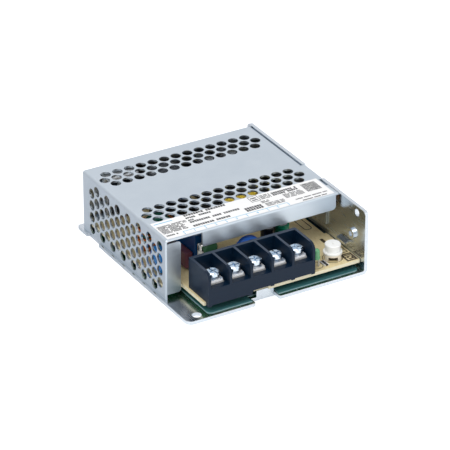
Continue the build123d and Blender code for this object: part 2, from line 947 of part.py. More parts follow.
# Trimmer rotor: a knob that widens to its top, a skirt and a stub shaft
with BuildPart() as trimmer_rotor:
    skirt_bottom = table_top + rotor_end_play
    with Locations((trimmer_x, trimmer_y, skirt_bottom)):
        Cylinder(
            rotor_skirt_diameter / 2,
            rotor_skirt_height,
            align=(Align.CENTER, Align.CENTER, Align.MIN),
        )
        Cylinder(
            trimmer_bore_diameter / 2 - rotor_radial_play,
            trimmer_leg_height,
            align=(Align.CENTER, Align.CENTER, Align.MAX),
        )
    with Locations((trimmer_x, trimmer_y, skirt_bottom + rotor_skirt_height)):
        Cone(
            rotor_foot_diameter / 2,
            rotor_top_diameter / 2,
            rotor_height,
            align=(Align.CENTER, Align.CENTER, Align.MIN),
        )
    rotor_top = trimmer_rotor.edges().filter_by(GeomType.CIRCLE).group_by(Axis.Z)[-1]
    chamfer(rotor_top, rotor_bevel)
    with Locations((trimmer_x, trimmer_y, skirt_bottom + rotor_skirt_height + rotor_height)):
        Hole(rotor_dimple_diameter / 2, depth=rotor_dimple_depth)
pieces["trimmer_rotor"] = trimmer_rotor

# Indicator lamp on its two leads
with BuildPart() as indicator_lamp:
    lamp_bottom = board_top + lamp_lift
    with BuildSketch(Plane.XZ.offset(-lamp_y)):
        with BuildLine():
            dome_start = lamp_bottom + lamp_height - lamp_diameter / 2
            Polyline(
                (lamp_x, lamp_bottom + lamp_height),
                (lamp_x, lamp_bottom),
                (lamp_x + lamp_rim_diameter / 2, lamp_bottom),
                (lamp_x + lamp_rim_diameter / 2, lamp_bottom + lamp_rim_height),
                (lamp_x + lamp_diameter / 2, lamp_bottom + lamp_rim_height),
                (lamp_x + lamp_diameter / 2, dome_start),
            )
            RadiusArc(
                (lamp_x + lamp_diameter / 2, dome_start),
                (lamp_x, lamp_bottom + lamp_height),
                -lamp_diameter / 2,
            )
        make_face()
    revolve(axis=Axis((lamp_x, lamp_y, 0), (0, 0, 1)))
    lead_step = Vector(lamp_lead_pitch / 2, 0, 0).rotate(Axis.Z, lamp_lead_turn)
    lamp_leads = [(lamp_x + side * lead_step.X, lamp_y + side * lead_step.Y) for side in (-1, 1)]
    leads(lamp_leads, lamp_bottom + lamp_rim_height)
pieces["indicator_lamp"] = indicator_lamp


def box_capacitor(x, y, size_x, size_y, tall, corner, lift):
    """Moulded box capacitor that stands on a lead near each end."""
    with BuildPart() as box:
        with BuildSketch(Plane.XY.offset(board_top + lift)):
            with Locations((x, y)):
                RectangleRounded(size_x, size_y, corner)
        extrude(amount=tall)
        chamfer(box.faces().sort_by(Axis.Z)[-1].edges(), box_bevel)
        ends = [(x, y + side * size_y * box_lead_share) for side in (-1, 1)]
        leads(ends, board_top + lift)
    return box


def disc_component(x, y, radius, thickness, lift=lead_lift, faces_x=False):
    """Dipped disc that stands on two leads, its flat sides to the front or to the left."""
    middle = board_top + lift + radius
    spread = radius * disc_lead_share
    with BuildPart() as disc:
        with Locations((x, y, middle)):
            Cylinder(radius, thickness, rotation=(0, 90, 0) if faces_x else (90, 0, 0))
        chamfer(disc.edges().filter_by(GeomType.CIRCLE), thickness * disc_edge_share)
        places = [
            (x, y + side * spread) if faces_x else (x + side * spread, y)
            for side in (-1, 1)
        ]
        leads(places, middle - spread)
    return disc


def electrolytic(x, y, diameter, tall):
    """Electrolytic capacitor: an upright can with a bevelled rim."""
    with BuildPart() as can:
        with Locations((x, y, board_top)):
            Cylinder(diameter / 2, tall, align=(Align.CENTER, Align.CENTER, Align.MIN))
        chamfer(can.edges().filter_by(GeomType.CIRCLE).group_by(Axis.Z)[-1], can_bevel)
    return can


def dual_chip(x, y, size_x, size_y):
    """Low moulded chip whose rows of leads spread to the left and right."""
    with BuildPart() as chip:
        span_box(
            around(x, size_x),
            around(y, size_y),
            (board_top + chip_lift, board_top + chip_lift + chip_height),
        )
        pairs = int(size_y // chip_lead_pitch)
        for index in range(pairs):
            lead_y = y + (index - (pairs - 1) / 2) * chip_lead_pitch
            for side in (-1, 1):
                lead_x = x + side * (size_x + lead_width) / 2
                span_box(
                    around(lead_x, lead_width),
                    around(lead_y, lead_width),
                    (board_top, board_top + chip_lift + chip_height / 2),
                )
    return chip


def power_package(plane, pins):
    """Tab package whose back lies on the plane, standing up from the board."""
    with BuildPart() as package:
        with BuildSketch(plane):
            with Locations((0, package_lift + package_height / 2)):
                Rectangle(package_width, package_height)
            with Locations((0, package_lift + package_height - package_hole_from_top)):
                Circle(package_hole_diameter / 2, mode=Mode.SUBTRACT)
        extrude(amount=package_tab)
        with BuildSketch(plane):
            with Locations((0, package_lift + package_body / 2)):
                Rectangle(package_width, package_body)
        extrude(amount=package_thickness)
        with BuildSketch(plane.offset(package_thickness / 2)):
            with Locations((0, package_lift / 2)):
                with GridLocations(package_pin_pitch, 0, pins, 1):
                    Rectangle(pin_width, package_lift)
        extrude(amount=lead_width)
    return package


for name, (x, y, *sizes) in box_capacitors.items():
    pieces[name] = box_capacitor(from_left(x), from_front(y), *sizes)
for name, (x, y, *sizes) in front_discs.items():
    pieces[name] = disc_component(from_left(x), from_front(y), *sizes)
pieces["varistor"] = disc_component(
    from_left(varistor_from_left),
    from_front(varistor_from_front),
    varistor_radius,
    varistor_thickness,
    faces_x=True,
)
pieces["safety_capacitor_2"] = disc_component(
    bridging_capacitor_x,
    from_back(bridging_capacitor_from_back),
    bridging_capacitor_radius,
    bridging_capacitor_thickness,
    faces_x=True,
)
for name, (x, y, *sizes) in front_cans.items():
    pieces[name] = electrolytic(from_left(x), from_front(y), *sizes)
for name, (x, y, *sizes) in rear_cans.items():
    pieces[name] = electrolytic(right - x, from_back(y), *sizes)
pieces["auxiliary_capacitor"] = electrolytic(
    from_left(auxiliary_from_left), auxiliary_capacitor_y, auxiliary_diameter, auxiliary_height
)
pieces["bulk_capacitor"] = electrolytic(
    from_left(bulk_capacitor_from_left),
    from_back(bulk_capacitor_from_back),
    bulk_capacitor_diameter,
    cover_inside - bulk_capacitor_below_cover - board_top,
)
for name, (x, y, *sizes) in chips.items():
    pieces[name] = dual_chip(from_left(x), from_back(y), *sizes)

# Fuse: upright ceramic tube with a rounded cap on its upper end
fuse_place = (from_left(fuse_from_left), from_front(fuse_from_front))
fuse_bottom = board_top + lead_lift
with BuildPart() as fuse:
    with Locations((*fuse_place, fuse_bottom)):
        Cylinder(fuse_diameter / 2, fuse_length, align=(Align.CENTER, Align.CENTER, Align.MIN))
    fillet(fuse.edges().filter_by(GeomType.CIRCLE).group_by(Axis.Z)[-1], fuse_round)
    leads([fuse_place], fuse_bottom)
pieces["fuse"] = fuse
with BuildPart() as fuse_cap:
    with Locations((*fuse_place, fuse_bottom + fuse_length + fuse_cap_rise)):
        Cylinder(
            fuse_diameter / 2 + fuse_cap_rise,
            fuse_cap_length,
            align=(Align.CENTER, Align.CENTER, Align.MAX),
        )
    fillet(
        fuse_cap.edges().filter_by(GeomType.CIRCLE).group_by(Axis.Z)[-1],
        fuse_round + fuse_cap_rise,
    )
    add(fuse.part, mode=Mode.SUBTRACT)
pieces["fuse_cap"] = fuse_cap

# Bridge rectifier: flat upright package with one cut corner
rectifier_place = (from_left(rectifier_from_left), from_back(rectifier_from_back))
with BuildPart() as bridge_rectifier:
    bridge_bottom = board_top + rectifier_lift
    with BuildSketch(Plane.XZ.offset(-rectifier_place[1])) as bridge_outline:
        with Locations((rectifier_place[0], bridge_bottom + rectifier_size[2] / 2)):
            Rectangle(rectifier_size[0], rectifier_size[2])
        cut_corner = (
            rectifier_place[0] - rectifier_size[0] / 2,
            bridge_bottom + rectifier_size[2],
        )
        chamfer(bridge_outline.vertices().sort_by_distance(cut_corner)[0], rectifier_corner)
    extrude(amount=rectifier_size[1] / 2, both=True)
    bridge_pins = [
        (
            rectifier_place[0] + (index - (rectifier_pins - 1) / 2) * rectifier_pin_pitch,
            rectifier_place[1],
        )
        for index in range(rectifier_pins)
    ]
    leads(bridge_pins, bridge_bottom, size=pin_width)
pieces["bridge_rectifier"] = bridge_rectifier

# Common-mode choke: upright ring core with two windings
choke_x = from_left(choke_from_left)
choke_y = from_front(choke_from_front)
choke_middle = board_top + choke_lift + choke_wire + choke_outer
choke_axis = Axis((choke_x, choke_y, choke_middle), (0, 1, 0))
with BuildPart() as choke_core:
    with BuildSketch(Plane.XZ.offset(-choke_y)):
        with Locations((choke_x, choke_middle)):
            Circle(choke_outer)
            Circle(choke_inner, mode=Mode.SUBTRACT)
    extrude(amount=choke_core_width / 2, both=True)
pieces["choke_core"] = choke_core


def choke_winding(side):
    """Winding round one half of the ring; side is 1 on the right and -1 on the left."""
    ring = choke_outer - choke_inner
    start = Vector(side, 0, 0).rotate(Axis.Y, choke_winding_arc / 2)
    plane = Plane(
        origin=(choke_x, choke_y, choke_middle),
        x_dir=start,
        z_dir=start.cross(Vector(0, 1, 0)),
    )
    with BuildPart() as winding:
        with BuildSketch(plane):
            with Locations(((choke_inner + choke_outer) / 2, 0)):
                Rectangle(ring + 2 * choke_wire, choke_core_width + 2 * choke_wire)
                Rectangle(ring, choke_core_width, mode=Mode.SUBTRACT)
        revolve(axis=choke_axis, revolution_arc=-choke_winding_arc)
        foot_x = choke_x + side * choke_inner
        ends = [
            (foot_x, choke_y + end * (choke_core_width + choke_wire) / 2) for end in (-1, 1)
        ]
        leads(ends, choke_middle - choke_inner - choke_wire, size=choke_wire)
    return winding


pieces["choke_winding_left"] = choke_winding(-1)
pieces["choke_winding_right"] = choke_winding(1)

# Transformer core: a pair of E shapes seen from the side
core_height = cover_inside - core_below_cover - board_top - core_above_board
core_leg = core_height * core_leg_share
core_centre_leg = 2 * core_leg
core_middle = board_top + core_above_board + core_height / 2
window_height = (core_height - 2 * core_leg - core_centre_leg) / 2
window_length = core_length - 2 * core_yoke
with BuildPart() as transformer_core:
    with BuildSketch(Plane.XZ.offset(-transformer_y)):
        with Locations((transformer_x, core_middle)):
            Rectangle(core_length, core_height)
            with GridLocations(0, core_centre_leg + window_height, 1, 2):
                Rectangle(window_length, window_height, mode=Mode.SUBTRACT)
    extrude(amount=core_depth / 2, both=True)
pieces["transformer_core"] = transformer_core

# Transformer bobbin: tube on the centre leg, two flanges and two rails of pins
tube_hole = (core_depth + 2 * core_play, core_centre_leg + 2 * core_play)
tube_outside = (tube_hole[0] + 2 * bobbin_wall, tube_hole[1] + 2 * bobbin_wall)
flange_size = (
    core_depth + 2 * winding_bulge,
    core_centre_leg + 2 * (window_height - core_play),
)
bobbin_length = window_length - 2 * core_play
flange_low = core_middle - flange_size[1] / 2
bobbin_plane = Plane.YZ.offset(transformer_x)
bobbin_x = around(transformer_x, bobbin_length)
with BuildPart() as transformer_bobbin:
    with BuildSketch(bobbin_plane):
        with Locations((transformer_y, core_middle)):
            Rectangle(*tube_outside)
    extrude(amount=bobbin_length / 2, both=True)
    for flange_x in (bobbin_x[0], bobbin_x[1] - bobbin_flange):
        with BuildSketch(Plane.YZ.offset(flange_x)):
            with Locations((transformer_y, core_middle)):
                Rectangle(*flange_size)
        extrude(amount=bobbin_flange)
    with BuildSketch(bobbin_plane):
        with Locations((transformer_y, core_middle)):
            Rectangle(*tube_hole)
    extrude(amount=bobbin_length / 2, both=True, mode=Mode.SUBTRACT)
    for y in rail_y:
        span_box(bobbin_x, around(y, pin_rail_width), (board_top, flange_low))
    for x, y in transformer_pins:
        span_box(around(x, pin_width), around(y, pin_width), (pin_end, board_top))
pieces["transformer_bobbin"] = transformer_bobbin

# Transformer winding under its tape
winding_build = window_height - core_play - bobbin_wall - winding_gap
with BuildPart() as transformer_winding:
    with BuildSketch(bobbin_plane):
        with Locations((transformer_y, core_middle)):
            RectangleRounded(
                flange_size[0] - 2 * core_play,
                tube_outside[1] + 2 * winding_build,
                winding_round,
            )
            Rectangle(*tube_outside, mode=Mode.SUBTRACT)
    extrude(amount=bobbin_length / 2 - bobbin_flange, both=True)
pieces["transformer_winding"] = transformer_winding

# Output choke: drum core and its winding
output_choke_x = transformer_x + core_length / 2 + output_choke_gap + output_choke_diameter / 2
output_choke_place = (output_choke_x, output_choke_y)
with BuildPart() as output_choke_core:
    with Locations((*output_choke_place, board_top)):
        Cylinder(
            output_choke_diameter / 2,
            output_choke_height,
            align=(Align.CENTER, Align.CENTER, Align.MIN),
        )
    with BuildSketch(Plane.XY.offset(board_top + output_choke_flange)):
        with Locations(output_choke_place):
            Circle(output_choke_diameter / 2)
            Circle(output_choke_waist / 2, mode=Mode.SUBTRACT)
    extrude(amount=output_choke_height - 2 * output_choke_flange, mode=Mode.SUBTRACT)
pieces["output_choke_core"] = output_choke_core
with BuildPart() as output_choke_winding:
    with BuildSketch(Plane.XY.offset(board_top + output_choke_flange)):
        with Locations(output_choke_place):
            Circle(output_choke_diameter / 2 - choke_lift)
            Circle(output_choke_waist / 2, mode=Mode.SUBTRACT)
    extrude(amount=output_choke_height - 2 * output_choke_flange)
pieces["output_choke_winding"] = output_choke_winding

# Primary heatsink: upright plate with its top folded forwards
sink_back = cover_back_inside - primary_sink_back_gap
sink_face = sink_back - sink_sheet
package_hole_height = board_top + package_lift + package_height - package_hole_from_top
primary_sink_left = from_left(primary_sink_from_left)
primary_sink_top = cover_inside - primary_sink_below_cover
primary_middle = primary_sink_left + primary_sink_width / 2
with BuildPart() as primary_heatsink:
    with BuildSketch(Plane.YZ.offset(primary_sink_left)):
        with Locations((sink_back, board_top)):
            Rectangle(sink_sheet, primary_sink_top - board_top, align=(Align.MAX, Align.MIN))
        with Locations((sink_back, primary_sink_top)):
            Rectangle(primary_sink_flange, sink_sheet, align=(Align.MAX, Align.MAX))
    extrude(amount=primary_sink_width)
    with BuildSketch(Plane.XZ.offset(-sink_back)):
        with Locations((primary_middle, package_hole_height)):
            Circle(package_hole_diameter / 2)
    extrude(amount=sink_sheet, mode=Mode.SUBTRACT)
pieces["primary_heatsink"] = primary_heatsink
transistor_plane = Plane(
    origin=(primary_middle, sink_face, board_top), x_dir=(1, 0, 0), z_dir=(0, -1, 0)
)
pieces["switching_transistor"] = power_package(transistor_plane, 3)

# Output heatsink: plain plate beside the right wall
output_sink_x = wall_inside - output_sink_from_wall
output_middle = from_back(output_sink_from_back + output_sink_length / 2)
with BuildPart() as output_heatsink:
    span_box(
        (output_sink_x, output_sink_x + sink_sheet),
        around(output_middle, output_sink_length),
        (board_top, cover_inside - output_sink_below_cover),
    )
    with BuildSketch(Plane.YZ.offset(output_sink_x)):
        with Locations((output_middle, package_hole_height)):
            Circle(package_hole_diameter / 2)
    extrude(amount=sink_sheet, mode=Mode.SUBTRACT)
pieces["output_heatsink"] = output_heatsink
diode_plane = Plane(
    origin=(output_sink_x, output_middle, board_top), x_dir=(0, -1, 0), z_dir=(-1, 0, 0)
)
pieces["output_diode"] = power_package(diode_plane, 2)

# Screws that hold the packages to the heatsinks
with BuildPart() as sink_screws:
    for plane in (transistor_plane, diode_plane):
        screw_spot = package_lift + package_height - package_hole_from_top
        with BuildSketch(plane.offset(package_tab)):
            with Locations((0, screw_spot)):
                Circle(sink_screw_head / 2)
        extrude(amount=sink_screw_head_height)
        with BuildSketch(plane.offset(package_tab)):
            with Locations((0, screw_spot)):
                Circle(package_hole_diameter / 2 - screw_play)
        extrude(amount=-package_tab - sink_sheet)
pieces["sink_screws"] = sink_screws

# Finished pieces, one file for each
os.makedirs("parts", exist_ok=True)
for name, piece in pieces.items():
    piece.part.label = name
    export_step(piece.part, f"parts/{name}.step")
    print(name, round(piece.part.volume, 1))
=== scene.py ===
# %% [markdown]
# # An enclosed switching power supply
#
# The real object is a bent aluminium chassis with a circuit board on it, closed by a thinner
# folded steel cover full of round vents. Five screw terminals, a trimmer and a small lamp are
# at the open front. The solids come from the frame. This lesson gives each of them its real
# finish, and adds what is too fine for the solids: print, solder, wire turns and threads.

# %% The frame
import math
import random

import bpy
from mathutils import Matrix, Vector


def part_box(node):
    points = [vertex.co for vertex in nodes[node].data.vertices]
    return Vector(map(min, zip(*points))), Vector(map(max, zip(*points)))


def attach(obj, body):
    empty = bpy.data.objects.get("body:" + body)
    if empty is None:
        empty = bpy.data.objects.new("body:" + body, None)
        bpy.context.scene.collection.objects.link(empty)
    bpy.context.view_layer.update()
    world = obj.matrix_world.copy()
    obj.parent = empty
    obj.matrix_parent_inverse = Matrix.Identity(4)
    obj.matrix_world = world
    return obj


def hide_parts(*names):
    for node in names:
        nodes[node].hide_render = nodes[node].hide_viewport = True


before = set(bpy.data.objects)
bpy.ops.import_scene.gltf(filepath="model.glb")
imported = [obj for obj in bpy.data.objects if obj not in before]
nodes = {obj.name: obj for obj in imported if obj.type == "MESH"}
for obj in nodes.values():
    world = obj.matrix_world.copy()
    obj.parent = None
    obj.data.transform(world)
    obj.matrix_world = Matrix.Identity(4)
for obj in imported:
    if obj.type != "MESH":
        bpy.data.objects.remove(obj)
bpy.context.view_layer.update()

# %% [markdown]
# Sizes are in millimetres on a drawing and in metres here, so one value turns the first into
# the second. Skin is the small depth by which a material tells a face from the edge below it.
# Colours are picked as sRGB hex values, and the shader wants linear light, so one function
# turns them.

# %% Units and colours
mm = 0.001
skin = 0.02 * mm


def linear(hex_colour):
    """Linear light, with full cover, of an sRGB hex colour such as 'c4ced6'."""
    channels = [int(hex_colour[i:i + 2], 16) / 255 for i in (0, 2, 4)]
    light = [c / 12.92 if c <= 0.04045 else ((c + 0.055) / 1.055) ** 2.4 for c in channels]
    return (*light, 1.0)


print("mid grey in linear light:", round(linear("808080")[0], 3))

# %% [markdown]
# The photograph was taken from the front left and above, from far away with a long lens, so
# the sheet's edges stay almost parallel. The camera's place was worked out from the rows of
# vents, and the lens gives the same narrow view on a sensor of 36 mm.

# %% The camera
view_azimuth = math.radians(-30.301)
view_elevation = math.radians(28.705)
view_roll = math.radians(0.041)
view_distance = 1341.85 * mm
view_target = Vector((2.043, -0.408, 12.266)) * mm
camera_data = bpy.data.cameras.new("studio_camera")
camera_data.lens = 248.95
camera_data.sensor_width = 36.0
camera_data.clip_start = 0.05
camera_data.clip_end = 20.0
camera = bpy.data.objects.new("studio_camera", camera_data)
bpy.context.scene.collection.objects.link(camera)
towards_camera = Vector((
    math.sin(view_azimuth) * math.cos(view_elevation),
    -math.cos(view_azimuth) * math.cos(view_elevation),
    math.sin(view_elevation),
))
camera.location = view_target + towards_camera * view_distance
aim = (-towards_camera).to_track_quat("-Z", "Y").to_matrix().to_4x4()
camera.rotation_euler = (aim @ Matrix.Rotation(view_roll, 4, "Z")).to_euler()
bpy.context.scene.camera = camera
print("camera at", [round(c / mm) for c in camera.location], "mm")

# %% [markdown]
# A shader is a small tree of nodes. One helper adds a node of any kind, sets its properties
# and fills each input with a value or with another node's output. It gives back the output
# that is in use, and links it on where a socket is named. A Mix node for colours has its two
# colours at inputs 6 and 7, and a Map Range node has its two ranges at inputs 1 to 4.

# %% Adding a node


def add_node(tree, kind, inputs=None, to=None, output=None, **settings):
    """Add a node with its settings and links, and return one of its outputs."""
    made = tree.nodes.new(kind)
    for name, value in settings.items():
        setattr(made, name, value)
    for socket, value in (inputs or {}).items():
        if isinstance(value, bpy.types.NodeSocket):
            tree.links.new(value, made.inputs[socket])
        else:
            made.inputs[socket].default_value = value
    in_use = [socket for socket in made.outputs if socket.enabled]
    result = made.outputs[output] if output else (in_use or [None])[0]
    if to is not None:
        tree.links.new(result, to)
    return result


def start_material(name, **constants):
    """A new material with these values on its shader: returns it, its tree and its shader."""
    material = bpy.data.materials.new(name)
    material.use_nodes = True
    shader = material.node_tree.nodes["Principled BSDF"]
    for socket, value in constants.items():
        shader.inputs[socket.replace("_", " ")].default_value = value
    return material, material.node_tree, shader


def dress(material, *names):
    """Give a material to each of the named solids."""
    for name in names:
        nodes[name].data.materials.clear()
        nodes[name].data.materials.append(material)


print("solids to dress:", ", ".join(sorted(nodes)[:3]), "and", len(nodes) - 3, "more")

# %% [markdown]
# No surface is one even colour. Three small patterns come back in most finishes: speckles of a
# real size, a colour that wanders with them, and a surface that is pitted by them. Pictures
# could do this too, but they would have to be laid out on each surface. These patterns read
# the object's own coordinates in metres, so they need no layout and have their real size.

# %% Speckles, mottled colour and pits


def speckle(tree, size, detail=2.0, stretch=(1, 1, 1)):
    """Noise whose spots are about this large in metres, drawn out along an axis by stretch."""
    place = add_node(tree, "ShaderNodeTexCoord", output="Object")
    scaled = add_node(tree, "ShaderNodeMapping", {"Vector": place, "Scale": stretch})
    pattern = {"Vector": scaled, "Scale": 1 / size, "Detail": detail}
    return add_node(tree, "ShaderNodeTexNoise", pattern, output="Fac")


def mottle(tree, size, dark, light, to=None):
    """A colour that wanders between two hex values, in spots of a size in metres."""
    return add_node(
        tree, "ShaderNodeMix",
        {0: speckle(tree, size), 6: linear(dark), 7: linear(light)}, to, data_type="RGBA",
    )


def pit(tree, shader, size, depth, strength=1.0):
    """Fine unevenness on a surface: spots of a size and a depth in metres."""
    uneven = {"Height": speckle(tree, size), "Distance": depth, "Strength": strength}
    add_node(tree, "ShaderNodeBump", uneven, shader.inputs["Normal"])


print("a speckle of 1 mm has a noise scale of", round(1 / (1 * mm)))

# %% [markdown]
# Many parts show two finishes on one solid, such as a face and its cut edge. The solid could
# be cut up for this, but it stays whole when the material tells the places apart, by a level
# on one axis or by the distance from an upright axis.

# %% Places on a solid


def past_level(tree, level, axis="Z"):
    """1 where the surface lies past a level in metres on an axis, 0 before it."""
    place = add_node(tree, "ShaderNodeTexCoord", output="Object")
    along = add_node(tree, "ShaderNodeSeparateXYZ", {0: place}, output=axis)
    return add_node(tree, "ShaderNodeMath", {0: along, 1: level}, operation="GREATER_THAN")


def two_tone(tree, level, below, past, to=None):
    """One colour below a height in metres and another past it."""
    return add_node(
        tree, "ShaderNodeMix", {0: past_level(tree, level), 6: below, 7: past}, to,
        data_type="RGBA",
    )


def from_axis(tree, centre):
    """The point in a flat plane, measured from an upright axis, and its distance to it."""
    place = add_node(tree, "ShaderNodeTexCoord", output="Object")
    to_axis = {"Vector": place, "Location": (-centre.x, -centre.y, 0), "Scale": (1, 1, 0)}
    flat = add_node(tree, "ShaderNodeMapping", to_axis)
    length = add_node(
        tree, "ShaderNodeVectorMath", {0: flat}, output="Value", operation="LENGTH"
    )
    return flat, length


print("a face is told from its edge at", round(skin / mm, 3), "mm")

# %% [markdown]
# ## The studio
#
# The studio is a white sweep under broad soft lamps. The world is plain: white to the camera
# and through clear things, and a soft grey as light, at a level at which a colour shows about
# as it is written. Bright metal shows what stands around it, so reflections see a world that
# is a little darker low down and on the left.

# %% The world
scene = bpy.context.scene
scene.view_settings.view_transform = "Standard"
world = bpy.data.worlds.new("studio_world")
world.use_nodes = True
scene.world = world
sky = world.node_tree
sky.nodes.clear()


def ray_kinds(tree):
    """1 for rays that see the studio directly or through a clear thing, and 1 for mirrored ones."""
    rays = add_node(tree, "ShaderNodeLightPath").node.outputs
    seen = {0: rays["Is Camera Ray"], 1: rays["Is Transmission Ray"]}
    return add_node(tree, "ShaderNodeMath", seen, operation="MAXIMUM"), rays["Is Glossy Ray"]


directly, mirrored = ray_kinds(sky)
towards = add_node(sky, "ShaderNodeTexCoord", output="Generated")
towards_up = add_node(sky, "ShaderNodeSeparateXYZ", {0: towards}, output="Z")
towards_right = add_node(sky, "ShaderNodeSeparateXYZ", {0: towards}, output="X")
by_height = add_node(
    sky, "ShaderNodeMapRange", {0: towards_up, 1: -0.1, 2: 0.7, 3: 0.86, 4: 1.0}
)
by_side = add_node(
    sky, "ShaderNodeMapRange", {0: towards_right, 1: -1.0, 2: 0.2, 3: 0.80, 4: 1.0}
)
mirror_level = add_node(
    sky, "ShaderNodeMath", {0: by_height, 1: by_side}, operation="MULTIPLY"
)
as_light = add_node(sky, "ShaderNodeBackground", {"Color": linear("f4f6fa"), "Strength": 0.74})
in_mirrors = add_node(
    sky, "ShaderNodeBackground", {"Color": linear("fbfcff"), "Strength": mirror_level}
)
plain_white = add_node(
    sky, "ShaderNodeBackground", {"Color": linear("ffffff"), "Strength": 1.0}
)
unseen = add_node(sky, "ShaderNodeMixShader", {0: mirrored, 1: as_light, 2: in_mirrors})
surroundings = add_node(
    sky, "ShaderNodeMixShader", {0: directly, 1: unseen, 2: plain_white}
)
add_node(sky, "ShaderNodeOutputWorld", {"Surface": surroundings})
print("nodes in the world's shader:", len(sky.nodes))

# %% [markdown]
# Three square area lamps stand for softboxes. Their sizes decide how soft the shadows are, and
# their watts are low, so that pale sheet doesn't clip to white. One lamp would light the case
# too, but three from different sides give each face of the folded sheet a grey of its own.

# %% The lamps
softboxes = {
    "key_softbox": ((-0.35, -0.30, 0.75), 0.55, 3.8),
    "fill_softbox": ((0.60, -0.55, 0.40), 0.90, 1.2),
    "top_softbox": ((0.00, 0.35, 0.90), 0.50, 0.5),
}
lamps_look_at = Vector((0, 0, 10 * mm))
for name, (place, size, watts) in softboxes.items():
    light = bpy.data.lights.new(name, "AREA")
    light.shape = "SQUARE"
    light.size = size
    light.energy = watts
    lamp = bpy.data.objects.new(name, light)
    lamp.location = place
    lamp.rotation_euler = (lamps_look_at - Vector(place)).to_track_quat("-Z", "Y").to_euler()
    scene.collection.objects.link(lamp)
print(len(softboxes), "softboxes,", sum(watts for _, _, watts in softboxes.values()), "W in all")

# %% [markdown]
# The floor is as white as paper to the camera, which a little light of its own gives it, and
# it still takes the object's soft shadow. To mirrors, the floor in front shines and so lights
# up the front faces, and the floor beside the left wall is duller, which gives that wall its
# calm grey. The floor lies a hair below the chassis, so the two never share a plane.

# %% The floor
floor_drop = 0.05 * mm
dull_from = -50 * mm
dull_to = -20 * mm
glow_to_camera = 0.38
glow_in_front = 0.33
glow_beside = 0.02
bpy.ops.mesh.primitive_plane_add(size=6.0, location=(0, 0, -floor_drop))
floor = bpy.context.active_object
floor.name = "paper_floor"
paper, tree, shader = start_material(
    "white_paper_sweep", Roughness=0.9, Specular_IOR_Level=0.1, Emission_Color=linear("ffffff")
)
directly, mirrored = ray_kinds(tree)
place = add_node(tree, "ShaderNodeTexCoord", output="Object")
depth_back = add_node(tree, "ShaderNodeSeparateXYZ", {0: place}, output="Y")
beside = add_node(tree, "ShaderNodeMapRange", {0: depth_back, 1: dull_from, 2: dull_to})
dull = add_node(tree, "ShaderNodeMath", {0: mirrored, 1: beside}, operation="MULTIPLY")
add_node(
    tree, "ShaderNodeMix", {0: dull, 6: linear("f2f2f2"), 7: linear("d6d7da")},
    shader.inputs["Base Color"], data_type="RGBA",
)
glow = add_node(
    tree, "ShaderNodeMapRange", {0: beside, 3: glow_in_front, 4: glow_beside}
)
mirror_glow = add_node(tree, "ShaderNodeMath", {0: mirrored, 1: glow}, operation="MULTIPLY")
camera_glow = add_node(
    tree, "ShaderNodeMath", {0: directly, 1: glow_to_camera}, operation="MULTIPLY"
)
add_node(
    tree, "ShaderNodeMath", {0: camera_glow, 1: mirror_glow},
    shader.inputs["Emission Strength"], operation="ADD",
)
floor.data.materials.append(paper)
print("the floor lies", round(floor_drop / mm, 3), "mm below the chassis")

# %% [markdown]
# ## Sheet metal
#
# The chassis is mill-finished aluminium sheet: bright, with a faint grain left by the rolls.
# The cover is thinner zinc-coated steel, a little bluer and softer in its shine. A metal's
# colour is what it reflects, so both are fully metallic. The grain of a rolled sheet is a few
# hundredths of a millimetre wide, too fine for this picture, so it is drawn ten times coarser
# and very weak. It runs along the depth on the chassis and across on the cover.

# %% Aluminium and zinc-coated steel


def rolled_sheet(name, grain, cloud_size, dark, light, roughness, depth, *names):
    """A bright rolled sheet: clouded colour, and a grain that bumps it and varies its gloss."""
    material, tree, shader = start_material(name, Metallic=1.0)
    rolled = speckle(tree, *grain)
    mottle(tree, cloud_size, dark, light, shader.inputs["Base Color"])
    add_node(
        tree, "ShaderNodeMapRange",
        {0: rolled, 1: 0.3, 2: 0.7, 3: roughness[0], 4: roughness[1]},
        shader.inputs["Roughness"],
    )
    add_node(
        tree, "ShaderNodeBump", {"Height": rolled, "Distance": depth}, shader.inputs["Normal"]
    )
    dress(material, *names)


rolled_sheet(
    "mill_finished_aluminium", (0.6 * mm, 3.0, (1, 0.08, 1)), 9 * mm, "c8d0d7", "d5dbe1",
    (0.19, 0.29), 0.006 * mm, "chassis",
)
rolled_sheet(
    "zinc_coated_steel", (0.5 * mm, 3.0, (0.1, 1, 1)), 12 * mm, "c0cad3", "cdd6dd",
    (0.30, 0.40), 0.01 * mm, "cover",
)
print("chassis and cover are dressed in rolled sheet")

# %% [markdown]
# The heatsinks are plain sheet that stands in the dark of the case, where a full mirror would
# show black only. A low metallic value keeps the pale grey that the eye sees through the vents.

# %% Heatsinks
heatsink_sheet, tree, shader = start_material(
    "plain_aluminium_sheet", Metallic=0.4, Roughness=0.3
)
mottle(tree, 3 * mm, "eef0f2", "f8f9fa", shader.inputs["Base Color"])
dress(heatsink_sheet, "primary_heatsink", "output_heatsink")

# %% [markdown]
# ## Small metal parts
#
# The screws are steel with a bright zinc plating, which has a cool blue tone in patches from
# its passivation. One noise sets both the tint and the gloss, because both come from the same
# film. The clamps are plated too and were tumbled in a barrel, so the pressed face is rubbed
# and blotchy. Their sides and cut edges are painted plain white and not metallic: a painted
# highlight, so that they show as bright as faces lit from the front.

# %% Screws and clamps
zinc_plate, tree, shader = start_material("blue_zinc_plated_steel", Metallic=1.0)
passivation = speckle(tree, 1.6 * mm)
patches = add_node(tree, "ShaderNodeMapRange", {0: passivation, 1: 0.35, 2: 0.65})
add_node(
    tree, "ShaderNodeMix", {0: patches, 6: linear("b9cde0"), 7: linear("e9eef2")},
    shader.inputs["Base Color"], data_type="RGBA",
)
add_node(
    tree, "ShaderNodeMapRange", {0: passivation, 1: 0.3, 2: 0.7, 3: 0.16, 4: 0.30},
    shader.inputs["Roughness"],
)
dress(zinc_plate, "terminal_screws", "cover_screws", "board_screws", "sink_screws")

